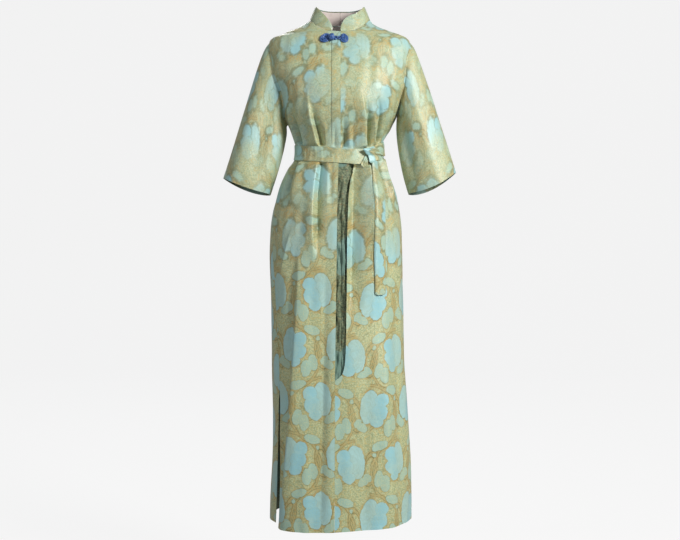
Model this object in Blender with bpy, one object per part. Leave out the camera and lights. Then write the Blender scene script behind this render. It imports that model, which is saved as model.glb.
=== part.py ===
"""A long belted cheongsam in floral brocade, hollow and holding the form it has when worn.

Frame: metres, +Z up, -Y is the front, +X is the wearer's left. The origin lies on the middle line of
the garment, level with the neck point of the shoulder seam, where the shoulders carry the dress.
Every cloth piece is a wall laid on one surface, the shell, which runs round the garment at a polar
angle (0 front, 90 wearer's left, 180 back) and a drop (millimetres below the neck point).
"""

import math

import bpy
import numpy as np

MM = 0.001

# Cloth walls and gaps, in millimetres.
CLOTH = 1.5
LINING = 1.0
BELT_CLOTH = 1.6
SEAM_GAP = 0.3
LAYER_GAP = 0.5
LOOSE_GAP = 0.8

# Heights, as drops below the neck point, in millimetres.
TOP_DROP = -0.8
FRONT_NECK_DROP = 37.5
BACK_NECK_DROP = 4.0
TIP_DROP = 46.0
ARMPIT_DROP = {"right": 278.0, "left": 251.0}
SLIT_DROP = 972.0
HEM_DROP = 1337.0
WAIST_DROP = 370.0

# Neck ring, shoulder seam and armhole.
NECK_HALF_WIDTH = 80.0
NECK_POINT_DROP = -1.6
NECK_POWER = 3.0
SHOULDER_SEAM_ANGLE = 94.0
ARMHOLE_BITE = {"front": 19.0, "back": 20.0}
ROUNDNESS = 2.3

# The shell. Half widths on the wearer's right and left, depths of front and back, in millimetres.
SHELL_COLUMNS = ("drop", "right", "left", "front", "back")
SHELL = (
    (-1.6, 80.0, 80.0, 37.0, 40.0),
    (4.0, 90.0, 85.0, 44.0, 58.0),
    (8.0, 99.0, 88.0, 46.0, 62.0),
    (18.5, 108.0, 106.0, 51.0, 71.0),
    (29.5, 138.0, 134.0, 57.0, 78.0),
    (39.8, 159.0, 164.0, 63.5, 84.0),
    (46.0, 180.0, 178.5, 68.0, 87.5),
    (60.0, 190.0, 189.0, 77.0, 93.0),
    (80.0, 195.0, 193.0, 87.0, 99.0),
    (117.0, 196.0, 189.0, 101.0, 106.0),
    (140.0, 191.0, 187.0, 109.0, 109.0),
    (164.0, 180.0, 182.0, 115.0, 110.0),
    (186.0, 166.0, 176.0, 120.0, 109.0),
    (212.0, 158.0, 166.0, 121.0, 106.0),
    (240.0, 153.0, 156.0, 118.0, 102.0),
    (262.0, 147.0, 147.0, 113.0, 98.0),
    (278.0, 139.5, 137.0, 109.0, 95.0),
    (294.0, 132.5, 129.0, 104.0, 91.0),
    (310.0, 126.5, 120.0, 99.0, 87.0),
    (327.0, 121.0, 114.5, 94.5, 84.0),
    (345.0, 118.5, 113.5, 91.0, 82.0),
    (362.0, 119.5, 116.5, 91.0, 82.5),
    (376.0, 125.0, 122.0, 93.5, 86.0),
    (391.5, 136.5, 126.0, 98.0, 92.0),
    (408.0, 146.0, 131.0, 102.0, 98.0),
    (440.0, 160.0, 143.5, 110.0, 109.0),
    (472.0, 170.0, 153.5, 116.0, 118.0),
    (516.0, 181.0, 160.5, 120.0, 124.0),
    (560.0, 186.5, 165.0, 123.0, 127.0),
    (629.0, 189.0, 167.4, 126.0, 129.0),
    (748.0, 186.5, 170.0, 128.0, 131.0),
    (894.0, 183.5, 173.5, 131.0, 133.0),
    (1007.0, 181.5, 180.5, 133.0, 135.0),
    (1120.0, 182.0, 187.0, 136.0, 138.0),
    (1234.0, 186.0, 192.5, 139.0, 141.0),
    (1337.0, 190.0, 193.0, 141.0, 143.0),
)

# Middle line of the belt, round the body.
BELT_HEIGHT = 40.0
BELT_LINE_COLUMNS = ("angle", "drop")
BELT_LINE = (
    (-180.0, 341.0),
    (-90.0, 351.0),
    (-45.0, 358.0),
    (0.0, 364.0),
    (32.0, 367.0),
    (50.0, 359.0),
    (90.0, 341.0),
    (180.0, 341.0),
)
PINCH_HALF_HEIGHT = 25.0
PINCH_RELEASE = 20.0

# Seam between front and back on each side, as an angle, and how far each edge opens at the slit hem.
SIDE_SEAM_COLUMNS = ("drop", "right", "left")
SIDE_SEAM = (
    (251.0, 90.0, 90.0),
    (360.0, 86.0, 90.0),
    (560.0, 76.0, 88.0),
    (972.0, 66.0, 88.0),
    (1337.0, 66.0, 86.0),
)
SLIT_SPREAD = {"front": 1.5, "back": 2.6}
SLIT_OPENING_RUN = 40.0
SLIT_TOP_SHARE = 0.4

# How much lower the hem hangs than its even line, round the body, and the drop where that begins.
HEM_DIP_COLUMNS = ("angle", "dip")
HEM_DIP = (
    (-68.6, 0.0),
    (-64.5, 12.0),
    (-40.0, 11.5),
    (-20.0, 9.5),
    (0.0, 6.0),
    (20.0, 4.0),
    (60.0, 1.0),
    (86.0, 0.0),
)
HEM_DIP_START = 1140.0

# Edges of the front opening: where each front ends, sideways from the middle line, in millimetres.
FRONT_EDGE_COLUMNS = ("drop", "right_front", "left_front")
FRONT_EDGE = (
    (-1.6, 1.3, 1.6),
    (340.0, 1.3, 1.6),
    (352.0, 1.0, 2.5),
    (364.0, -0.5, 12.0),
    (376.0, -2.5, 27.0),
    (390.0, -4.0, 37.0),
    (425.0, -5.0, 26.5),
    (480.0, -6.5, 20.5),
    (649.0, -9.0, 16.6),
    (831.0, -11.5, 16.0),
    (904.0, -12.5, 12.7),
    (930.0, -13.0, 6.8),
    (943.0, -13.2, -5.0),
    (950.0, -13.3, -13.0),
    (1337.0, -14.0, -13.7),
)

# The main folds: where each begins and ends, its half width and its height (ridge +, trough -).
FOLD_COLUMNS = ("top_angle", "top_drop", "low_angle", "low_drop", "half_width", "height")
FOLDS = (
    # Bodice front, wearer's right.
    (-37.0, 150.0, -33.0, 352.0, 10.0, 6.0),
    (-29.5, 170.0, -28.0, 352.0, 8.0, -4.5),
    (-52.0, 235.0, -58.0, 352.0, 8.0, -7.0),
    (-66.0, 215.0, -70.0, 352.0, 13.0, 5.0),
    (-14.0, 210.0, -16.0, 352.0, 10.0, 3.0),
    # Bodice front, wearer's left.
    (20.0, 270.0, 19.0, 352.0, 9.0, -5.0),
    (26.0, 215.0, 28.0, 352.0, 10.0, 5.0),
    (38.0, 265.0, 42.0, 352.0, 7.5, -6.0),
    (44.0, 175.0, 53.0, 352.0, 9.5, 4.5),
    (51.0, 160.0, 63.0, 352.0, 8.0, -7.0),
    (60.0, 185.0, 74.0, 352.0, 10.0, 4.5),
    # Skirt front, below the belt.
    (-32.5, 364.0, -30.0, 520.0, 9.0, 6.5),
    (-26.0, 364.0, -25.0, 500.0, 8.0, -6.0),
    (-57.0, 360.0, -70.0, 520.0, 10.0, -8.0),
    (-47.0, 360.0, -52.0, 560.0, 16.0, 5.0),
    (58.0, 360.0, 68.0, 480.0, 8.5, -7.0),
    (30.0, 360.0, 31.0, 560.0, 12.0, 4.0),
    # Long soft folds of the skirt.
    (-45.0, 560.0, -61.0, 1400.0, 26.0, 7.0),
    (-58.0, 560.0, -76.0, 1400.0, 20.0, -5.0),
    (-16.0, 700.0, -22.0, 1420.0, 30.0, -4.0),
    (30.0, 620.0, 26.0, 1420.0, 30.0, -4.0),
    (50.0, 750.0, 60.0, 1420.0, 28.0, 6.0),
    # Back, above and below the belt.
    (108.0, 190.0, 112.0, 352.0, 11.0, 6.0),
    (126.0, 230.0, 124.0, 352.0, 9.0, -6.0),
    (143.0, 180.0, 142.0, 352.0, 12.0, 6.0),
    (162.0, 240.0, 160.0, 352.0, 10.0, -5.0),
    (184.0, 200.0, 182.0, 352.0, 12.0, 5.0),
    (205.0, 240.0, 206.0, 352.0, 10.0, -6.0),
    (224.0, 190.0, 224.0, 352.0, 12.0, 6.0),
    (245.0, 230.0, 243.0, 352.0, 10.0, -5.0),
    (112.0, 350.0, 104.0, 560.0, 13.0, -7.0),
    (132.0, 350.0, 128.0, 700.0, 16.0, 6.0),
    (154.0, 350.0, 150.0, 600.0, 13.0, -6.0),
    (176.0, 350.0, 174.0, 760.0, 18.0, 6.0),
    (203.0, 350.0, 206.0, 620.0, 13.0, -6.0),
    (228.0, 350.0, 234.0, 720.0, 17.0, 6.0),
    (124.0, 640.0, 118.0, 1420.0, 34.0, 7.0),
    (150.0, 700.0, 152.0, 1420.0, 34.0, -6.0),
    (182.0, 720.0, 186.0, 1420.0, 36.0, 6.0),
    (214.0, 680.0, 218.0, 1420.0, 34.0, -6.0),
    (240.0, 640.0, 244.0, 1420.0, 32.0, 6.0),
)
FOLD_FADE = 0.35
BODICE_FOLD_FADE = 0.7

# Steps that normals are measured over, and how near the side an angle may lie.
NORMAL_TURN = 0.4
NORMAL_FALL = 0.4
MOST_SHARE = 0.9999

# Rows of the panels, as drops, and columns across each panel.
FRONT_NECK_ROWS = (TOP_DROP, 4.0, 11.0, 19.0, 26.0, 31.5, 35.8, FRONT_NECK_DROP)
BACK_NECK_ROWS = (TOP_DROP, 1.8, 3.4, BACK_NECK_DROP, 11.0, 19.0, 31.5)
BODY_ROWS = (
    46, 50, 59, 74, 96, 124, 156, 188, 216, 238, 251, 265, 278, 294, 310, 325, 338, 350, 361, 373,
    386, 404, 430, 466, 515, 580, 660, 745, 830, 904, 930, 950, 972, 1050, 1140, 1240, 1337,
)
FRONT_COLUMNS = 14
BACK_COLUMNS = 22

# Sleeves. Corners of the cuff as sideways place and drop, how far its edge bows down between them,
# and the pull of the cloth where it leaves the armhole and where it reaches the cuff, at the top of
# the arm and under it.
SLEEVES = {
    "right": {"outer": (312.4, 420.7), "inner": (186.3, 464.4), "under_lean": 10.0, "bow": 7.5},
    "left": {"outer": (311.3, 405.0), "inner": (184.7, 462.5), "under_lean": -34.0, "bow": 13.0},
}
CUFF_DEPTH = 112.0
CUFF_FORWARD = 10.0
CUFF_BACK_DIP = 9.0
CAP_LEAN = 80.0
CAP_FALL = 60.0
CAP_FRONT_PULL = 12.0
UNDER_FALL = 150.0
CUFF_PULL_TOP = (120.0, 375.0)
CUFF_PULL_UNDER = (60.0, 180.0)
SLEEVE_ROWS = (0.0, 0.035, 0.09, 0.17, 0.27, 0.38, 0.5, 0.62, 0.74, 0.86, 0.955, 1.0)
# Sleeve folds: turn round the arm at the cap and at the cuff, begin, end, half width, height.
SLEEVE_FOLDS = {
    "right": (
        (0.62, 0.70, 0.10, 0.75, 16.0, -5.0),
        (0.30, 0.34, 0.25, 1.00, 18.0, 4.0),
        (1.35, 1.30, 0.15, 0.90, 16.0, -5.0),
    ),
    "left": (
        (0.66, 0.62, 0.12, 0.95, 12.0, -6.0),
        (0.78, 0.78, 0.12, 0.95, 13.0, 5.0),
        (1.35, 1.30, 0.15, 0.90, 16.0, -5.0),
    ),
}

# Collar: how far it stands up, how it leans in, and the angles where its two front ends start and
# where each reaches its whole height.
COLLAR_HEIGHT = {"front": 47.0, "side": 40.5, "back": 43.5}
COLLAR_LEAN = (0.82, 0.86)
COLLAR_ENDS = {"right": (16.0, 60.0), "left": (1.0, 34.0)}
COLLAR_END_POWER = 2.2
COLLAR_END_LEAST = 0.07
COLLAR_CLOTH = 1.4
COLLAR_SEAM_GAP = 0.6
COLLAR_SIDE_POWER = 1.5
COLLAR_NORMAL_TURN = 0.5
COLLAR_COLUMNS = 38
COLLAR_ROWS = 2
NECK_LINING_SPAN = 56.0
NECK_LINING_ROWS = (7.0, 11.0, 19.0, 31.5, 46.0, 59.0, 74.0)
NECK_LINING_COLUMNS = 16

# Underlap behind the front opening: its two edges, sideways from the middle line.
UNDERLAP_COLUMNS = ("drop", "near", "far")
UNDERLAP = (
    (42.0, -14.0, 20.0),
    (340.0, -14.0, 20.0),
    (390.0, -20.0, 46.0),
    (480.0, -22.0, 34.0),
    (830.0, -27.0, 30.0),
    (960.0, -28.0, 22.0),
)
UNDERLAP_ACROSS = 4

# Belt ends, by their two edges, sideways from the middle line, and the knot.
BELT_COLUMNS = 64
BELT_ROWS = 3
TAIL_ROWS = 14
TAIL_ACROSS = 4
TAIL_COLUMNS = ("drop", "near", "far")
FRONT_TAIL = (
    (389.5, 71.0, 107.0),
    (445.0, 79.0, 113.0),
    (496.0, 84.0, 116.0),
    (607.0, 84.5, 117.5),
    (700.0, 87.5, 118.5),
    (727.0, 88.0, 118.5),
)
BACK_TAIL = (
    (389.5, 75.0, 102.0),
    (500.0, 88.0, 112.0),
    (640.0, 90.0, 112.0),
)
KNOT_ANGLE = 43.0
KNOT_HALF_WIDTH = 22.0
KNOT_HALF_HEIGHT = 24.0
KNOT_SWELL = 7.0
KNOT_LEAST = 1.5
KNOT_NARROWING = 0.15
KNOT_ROUNDING = {"across": 0.92, "down": 0.8}
KNOT_CELLS = 8

# Frog closure: place of each piece as sideways place and drop, and half sizes, in millimetres.
PADS = {"right": (-39.4, 59.4, 12.2, 15.6), "left": (11.4, 59.0, 10.6, 15.6)}
PAD_HEIGHT = 4.0
BALL = (-20.8, 53.1, 7.8, 10.4)
LINK = (-6.2, 57.4, 4.5, 4.6)
LINK_WIRE = 1.8
LINK_SIDES = 14
LINK_WIRE_SIDES = 8
BALL_RINGS = 7
BALL_SIDES = 12
PAD_SIDES = 16
PAD_MIDDLE = 1.0
PAD_RINGS = (0.3, 0.52, 0.75, 0.93, 1.0)
PAD_RIDGES = (0.72, 1.0, 0.72, 0.8, 0.35)

COLOURS = {
    "brocade": (0.42, 0.46, 0.28, 1.0),
    "wrong_side": (0.12, 0.13, 0.07, 1.0),
    "lining": (0.62, 0.54, 0.50, 1.0),
    "frog_satin": (0.04, 0.14, 0.38, 1.0),
}


def table(rows, columns):
    """The rows of a table as one array for each named column."""
    return dict(zip(columns, np.array(rows, float).T))


def smooth_through(places, values, at):
    """Curve through the values that never overshoots them; places rise."""
    at = np.clip(np.asarray(at, float), places[0], places[-1])
    steps = np.diff(places)
    slopes = np.diff(values) / steps
    pulls = np.zeros(len(values))
    pulls[0], pulls[-1] = slopes[0], slopes[-1]
    same_way = slopes[:-1] * slopes[1:] > 0
    sums = np.where(same_way, slopes[:-1] + slopes[1:], 1.0)
    pulls[1:-1] = np.where(same_way, 2 * slopes[:-1] * slopes[1:] / sums, 0.0)
    left = np.clip(np.searchsorted(places, at, side="right") - 1, 0, len(places) - 2)
    part = (at - places[left]) / steps[left]
    rest = 1 - part
    return (
        values[left] * rest * rest * (1 + 2 * part)
        + values[left + 1] * part * part * (3 - 2 * part)
        + steps[left] * part * rest * (pulls[left] * rest - pulls[left + 1] * part)
    )


SHELL_TABLE = table(SHELL, SHELL_COLUMNS)
BELT_TABLE = table(BELT_LINE, BELT_LINE_COLUMNS)
SEAM_TABLE = table(SIDE_SEAM, SIDE_SEAM_COLUMNS)
EDGE_TABLE = table(FRONT_EDGE, FRONT_EDGE_COLUMNS)
DIP_TABLE = table(HEM_DIP, HEM_DIP_COLUMNS)
SIGN = {"right": -1.0, "left": 1.0}


def shell_size(drop, name):
    """Half width or depth of the shell at a drop."""
    return smooth_through(SHELL_TABLE["drop"], SHELL_TABLE[name], drop)


def ease(x):
    """Smooth step from 0 to 1."""
    x = np.clip(x, 0.0, 1.0)
    return x * x * (3 - 2 * x)


def turned(angle):
    """The angle brought into -180 to 180 degrees."""
    return (np.asarray(angle, float) + 180.0) % 360.0 - 180.0


def half_sizes(angle, drop):
    """Half width and depth of the quarter of the ring that the angle lies in."""
    wide = np.where(np.sin(angle) < 0, shell_size(drop, "right"), shell_size(drop, "left"))
    deep = np.where(np.cos(angle) > 0, shell_size(drop, "front"), shell_size(drop, "back"))
    return wide, deep


def ring_radius(angle, drop):
    """Distance from the middle line to the shell, at an angle in radians."""
    wide, deep = half_sizes(angle, drop)
    return (
        np.abs(np.sin(angle) / wide) ** ROUNDNESS + np.abs(np.cos(angle) / deep) ** ROUNDNESS
    ) ** (-1 / ROUNDNESS)


def belt_drop(degrees):
    """Drop of the belt's middle line."""
    return smooth_through(BELT_TABLE["angle"], BELT_TABLE["drop"], turned(degrees))


def fold_height(degrees, drop, radius):
    """Sum of the main folds; the belt presses them flat."""
    total = np.zeros(np.broadcast(degrees, drop).shape)
    for top_angle, top_drop, low_angle, low_drop, half_width, height in FOLDS:
        along = (drop - top_drop) / (low_drop - top_drop)
        middle = top_angle + (low_angle - top_angle) * along
        across = np.radians(turned(degrees - middle)) * radius / half_width
        shown = ease(along / FOLD_FADE) * ease((1 - along) / FOLD_FADE)
        if low_drop < WAIST_DROP:
            shown = ease(along / BODICE_FOLD_FADE) * (along <= 1)
        elif top_drop < WAIST_DROP:
            shown = ease((1 - along) / FOLD_FADE) * (along >= 0)
        total = total + height * shown * np.exp(-across * across)
    from_belt = np.abs(drop - belt_drop(degrees))
    return total * ease((from_belt - PINCH_HALF_HEIGHT) / PINCH_RELEASE)


def hem_dip(degrees, drop):
    """How much lower the cloth hangs than its drop, near the hem."""
    dip = smooth_through(DIP_TABLE["angle"], DIP_TABLE["dip"], turned(degrees))
    return dip * ease((drop - HEM_DIP_START) / (HEM_DROP - HEM_DIP_START))


def shell(degrees, drop, folded=True):
    """Points of the shell, in millimetres."""
    degrees, drop = np.broadcast_arrays(np.asarray(degrees, float), np.asarray(drop, float))
    angle = np.radians(degrees)
    radius = ring_radius(angle, drop)
    if folded:
        radius = radius + fold_height(degrees, drop, radius)
    height = -drop - hem_dip(degrees, drop)
    return np.stack([radius * np.sin(angle), -radius * np.cos(angle), height], axis=-1)


def unit(vectors):
    """Vectors scaled to length 1."""
    return vectors / np.linalg.norm(vectors, axis=-1, keepdims=True)


def shell_normal(degrees, drop, folded=True):
    """Outward normals of the shell."""
    after = shell(degrees + NORMAL_TURN, drop, folded)
    before = shell(degrees - NORMAL_TURN, drop, folded)
    below = shell(degrees, drop + NORMAL_FALL, folded)
    above = shell(degrees, drop - NORMAL_FALL, folded)
    return unit(np.cross(below - above, after - before))


def angle_at(side_place, drop):
    """Polar angle of the front of the shell at a sideways place, in degrees."""
    side_place = np.asarray(side_place, float)
    wide = np.where(side_place < 0, shell_size(drop, "right"), shell_size(drop, "left"))
    share = np.clip(np.abs(side_place) / wide, 0.0, MOST_SHARE)
    deep = shell_size(drop, "front") * (1 - share**ROUNDNESS) ** (1 / ROUNDNESS)
    return np.degrees(np.arctan2(side_place, deep))


def neck_half_width(drop, low):
    """How far the neck edge lies from the middle line at a drop above its lowest point."""
    share = np.clip((low - np.asarray(drop, float)) / (low - NECK_POINT_DROP), 0.0, 1.0)
    return NECK_HALF_WIDTH * share ** (1 / NECK_POWER)


def side_edge(drop, side, panel):
    """Angle, from the front, of a panel's outer edge: shoulder seam, armhole, side seam and slit."""
    drop = np.asarray(drop, float)
    low = ARMPIT_DROP[side]
    share = np.clip((drop - TIP_DROP) / (low - TIP_DROP), 0.0, 1.0)
    bite = ARMHOLE_BITE[panel] * np.sqrt(np.clip(1 - (2 * share - 1) ** 2, 0.0, 1.0))
    seam = smooth_through(SEAM_TABLE["drop"], SEAM_TABLE[side], drop)
    seam = np.where(drop < low, SHOULDER_SEAM_ANGLE + (seam - SHOULDER_SEAM_ANGLE) * share, seam)
    down_slit = np.clip((drop - SLIT_DROP) / (HEM_DROP - SLIT_DROP), 0.0, 1.0)
    spread = SLIT_SPREAD[panel] * ease((drop - SLIT_DROP) / SLIT_OPENING_RUN)
    spread = spread * (SLIT_TOP_SHARE + (1 - SLIT_TOP_SHARE) * down_slit)
    outwards = 1.0 if panel == "back" else -1.0
    return seam + outwards * (bite + spread)


def gap_angle(degrees, drop):
    """Half a seam gap, as an angle."""
    return np.degrees(SEAM_GAP / 2 / ring_radius(np.radians(degrees), drop))


def back_neck_angle(drop, side):
    """Angle of the back neck edge."""
    place = neck_half_width(drop, BACK_NECK_DROP)
    share = np.clip(place / shell_size(drop, side), 0.0, MOST_SHARE)
    deep = shell_size(drop, "back") * (1 - share**ROUNDNESS) ** (1 / ROUNDNESS)
    return 180.0 - np.degrees(np.arctan2(place, deep))


def add_object(name, points, faces, material):
    """Object made of points in millimetres."""
    mesh = bpy.data.meshes.new(name)
    mesh.from_pydata([tuple(point) for point in np.asarray(points) * MM], [], faces)
    mesh.materials.append(material)
    mesh.shade_smooth()
    mesh.set_sharp_from_angle(angle=math.radians(50))
    thing = bpy.data.objects.new(name, mesh)
    bpy.context.scene.collection.objects.link(thing)
    return thing


def thicken(name, outer, inner, sheet, material):
    """Closed wall between outer and inner points, which share the faces of one sheet."""
    count = len(outer)
    faces = list(sheet)
    faces += [tuple(count + corner for corner in reversed(face)) for face in sheet]
    edges = {(face[k], face[(k + 1) % len(face)]) for face in sheet for k in range(len(face))}
    for first, second in sorted(edges):
        if (second, first) not in edges:
            faces.append((second, first, count + first, count + second))
    return add_object(name, np.concatenate([outer, inner]), faces, material)


def grid_sheet(index, closed_round=False):
    """Faces over a grid of point numbers, whose rows run down and whose columns run round."""
    if closed_round:
        index = np.concatenate([index, index[:, :1]], axis=1)
    corners = (index[:-1, :-1], index[1:, :-1], index[1:, 1:], index[:-1, 1:])
    return [tuple(int(k) for k in face) for face in np.stack(corners, -1).reshape(-1, 4)]


def wall(name, outer, normals, thickness, material, closed_round=False):
    """Wall between a grid of outer points and the same points moved in."""
    inner = outer - normals * np.broadcast_to(thickness, outer.shape[:2])[..., None]
    index = np.arange(outer.shape[0] * outer.shape[1]).reshape(outer.shape[:2])
    sheet = grid_sheet(index, closed_round)
    return thicken(name, outer.reshape(-1, 3), inner.reshape(-1, 3), sheet, material)


def lay(name, angles, drops, lift, thickness, material, closed_round=False, folded=True):
    """Wall on the shell: its outer face is lifted off the shell, and it reaches in from there."""
    normals = shell_normal(angles, drops, folded)
    lift = np.broadcast_to(lift, normals.shape[:2])[..., None]
    outer = shell(angles, drops, folded) + normals * lift
    return wall(name, outer, normals, thickness, material, closed_round)


def spread_columns(start, end, count):
    """Grid between two edges, one row for each of their entries."""
    share = np.linspace(0.0, 1.0, count + 1)
    return start[:, None] + (end - start)[:, None] * share


def make_material(name, roughness):
    """Plain material with a colour and a roughness."""
    material = bpy.data.materials.new(name)
    material.use_nodes = True
    shader = material.node_tree.nodes["Principled BSDF"]
    shader.inputs["Base Color"].default_value = COLOURS[name]
    shader.inputs["Roughness"].default_value = roughness
    material.diffuse_color = COLOURS[name]
    return material


def build_fronts(material):
    """Right and left front, from the middle edge round to the side seam."""
    rows = np.array(FRONT_NECK_ROWS + BODY_ROWS, float)
    drops = np.repeat(rows[:, None], FRONT_COLUMNS + 1, axis=1)
    for side in ("right", "left"):
        edge = smooth_through(EDGE_TABLE["drop"], EDGE_TABLE[side + "_front"], rows)
        neck = SIGN[side] * neck_half_width(rows, FRONT_NECK_DROP)
        start = angle_at(np.where(rows < FRONT_NECK_DROP, neck, edge), rows)
        end = SIGN[side] * side_edge(rows, side, "front")
        end = end - SIGN[side] * gap_angle(end, rows)
        angles = spread_columns(start, end, FRONT_COLUMNS)
        if side == "right":
            angles = angles[:, ::-1]
        lay("front_" + side, angles, drops, 0.0, CLOTH, material)


def build_back(material):
    """The back is one piece: two halves that share their middle column below the neck edge."""
    rows = np.array(BACK_NECK_ROWS + BODY_ROWS, float)
    left_edge = side_edge(rows, "left", "back")
    left_edge = left_edge + gap_angle(left_edge, rows)
    right_edge = 360.0 - side_edge(rows, "right", "back")
    right_edge = right_edge - gap_angle(right_edge, rows)
    at_neck = rows < BACK_NECK_DROP
    left_inner = np.where(at_neck, back_neck_angle(rows, "left"), 180.0)
    right_inner = np.where(at_neck, 360.0 - back_neck_angle(rows, "right"), 180.0)
    half = BACK_COLUMNS // 2
    left = spread_columns(left_edge, left_inner, half)
    right = spread_columns(right_inner, right_edge, half)
    angles = np.concatenate([left, right], axis=1)
    drops = np.repeat(rows[:, None], 2 * half + 2, axis=1)
    index = np.arange(angles.size).reshape(angles.shape)
    right_index = index[:, half + 1 :].copy()
    right_index[~at_neck, 0] = index[~at_neck, half]
    sheet = grid_sheet(index[:, : half + 1]) + grid_sheet(right_index)
    used = sorted({corner for face in sheet for corner in face})
    number = {old: new for new, old in enumerate(used)}
    sheet = [tuple(number[corner] for corner in face) for face in sheet]
    normals = shell_normal(angles, drops).reshape(-1, 3)[used]
    outer = shell(angles, drops).reshape(-1, 3)[used]
    thicken("back", outer, outer - normals * CLOTH, sheet, material)


def build_underlap(material):
    """Dark band that lies behind the front opening."""
    edges = table(UNDERLAP, UNDERLAP_COLUMNS)
    rows = [drop for drop in BODY_ROWS if edges["drop"][0] < drop < edges["drop"][-1]]
    rows = np.array([edges["drop"][0], *rows, edges["drop"][-1]])
    near = angle_at(smooth_through(edges["drop"], edges["near"], rows), rows)
    far = angle_at(smooth_through(edges["drop"], edges["far"], rows), rows)
    angles = spread_columns(near, far, UNDERLAP_ACROSS)
    drops = np.repeat(rows[:, None], UNDERLAP_ACROSS + 1, axis=1)
    lay("front_underlap", angles, drops, -CLOTH - LOOSE_GAP, CLOTH, material)


def neck_ring(angle):
    """Neck edge of the panels, at angles in degrees round the neck."""
    turn = np.radians(np.asarray(angle, float))
    place = NECK_HALF_WIDTH * np.sin(turn)
    share = np.abs(np.sin(turn))
    front = np.cos(turn) > 0
    low = np.where(front, FRONT_NECK_DROP, BACK_NECK_DROP)
    drop = low - (low - NECK_POINT_DROP) * share**NECK_POWER
    wide, deep = half_sizes(turn, drop)
    reach = deep * (1 - np.clip(np.abs(place) / wide, 0, 1) ** ROUNDNESS) ** (1 / ROUNDNESS)
    return np.stack([place, np.where(front, -reach, reach), -drop], axis=-1)


def collar_surface(angles, share):
    """Points of the standing collar, from its seam (share 0) to its top edge (share 1)."""
    turn = np.radians(angles)
    base = neck_ring(angles) + np.array([0.0, 0.0, COLLAR_SEAM_GAP])
    ends = np.where(np.cos(turn) < 0, COLLAR_HEIGHT["back"], COLLAR_HEIGHT["front"])
    height = ends + (COLLAR_HEIGHT["side"] - ends) * np.abs(np.sin(turn)) ** COLLAR_SIDE_POWER
    from_front = np.abs(turned(angles))
    side = np.where(turned(angles) < 0, "right", "left")
    begin = np.where(side == "right", COLLAR_ENDS["right"][0], COLLAR_ENDS["left"][0])
    whole = np.where(side == "right", COLLAR_ENDS["right"][1], COLLAR_ENDS["left"][1])
    run = np.clip((from_front - begin) / (whole - begin), 0.0, 1.0)
    cut = (1 - (1 - run) ** COLLAR_END_POWER) ** (1 / COLLAR_END_POWER)
    cut = np.maximum(cut, COLLAR_END_LEAST)
    top = base * np.array([COLLAR_LEAN[0], COLLAR_LEAN[1], 1.0])
    top[..., 2] += height
    return base + (top - base) * (share * cut)[..., None]


def build_collar(material, lining):
    """Standing collar and, inside it, its lining."""
    angles = np.linspace(COLLAR_ENDS["left"][0], 360.0 - COLLAR_ENDS["right"][0], COLLAR_COLUMNS + 1)
    share = np.linspace(0.0, 1.0, COLLAR_ROWS + 1)[::-1]
    angles, share = np.meshgrid(angles, share)
    points = collar_surface(angles, share)
    after = collar_surface(angles + COLLAR_NORMAL_TURN, share)
    before = collar_surface(angles - COLLAR_NORMAL_TURN, share)
    level = (after - before) * np.array([1.0, 1.0, 0.0])
    normals = unit(np.cross(np.array([0.0, 0.0, -1.0]), level))
    wall("collar", points, normals, COLLAR_CLOTH, material)
    inside = points - normals * (COLLAR_CLOTH + SEAM_GAP)
    wall("collar_lining", inside, normals, LINING, lining)


def build_neck_lining(lining):
    """Lining of the back, just below the neck."""
    angles = np.linspace(180.0 - NECK_LINING_SPAN, 180.0 + NECK_LINING_SPAN, NECK_LINING_COLUMNS + 1)
    drops = np.array(NECK_LINING_ROWS)
    angles, drops = np.meshgrid(angles, drops)
    lay("neck_lining", angles, drops, -CLOTH - LOOSE_GAP, LINING, lining)


def armhole(side):
    """Turn round the arm, shell angle and drop of the points of an armhole, as a closed loop."""
    low = ARMPIT_DROP[side]
    rows = np.array([drop for drop in BODY_ROWS if TIP_DROP <= drop <= low], float)
    turns = np.arccos(np.clip(1 - 2 * (rows - TIP_DROP) / (low - TIP_DROP), -1, 1))
    front = side_edge(rows, side, "front")
    back = side_edge(rows, side, "back")
    turns = np.concatenate([turns, 2 * math.pi - turns[-2:0:-1]])
    angles = np.concatenate([front, back[-2:0:-1]])
    drops = np.concatenate([rows, rows[-2:0:-1]])
    return turns, SIGN[side] * angles, drops


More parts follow.
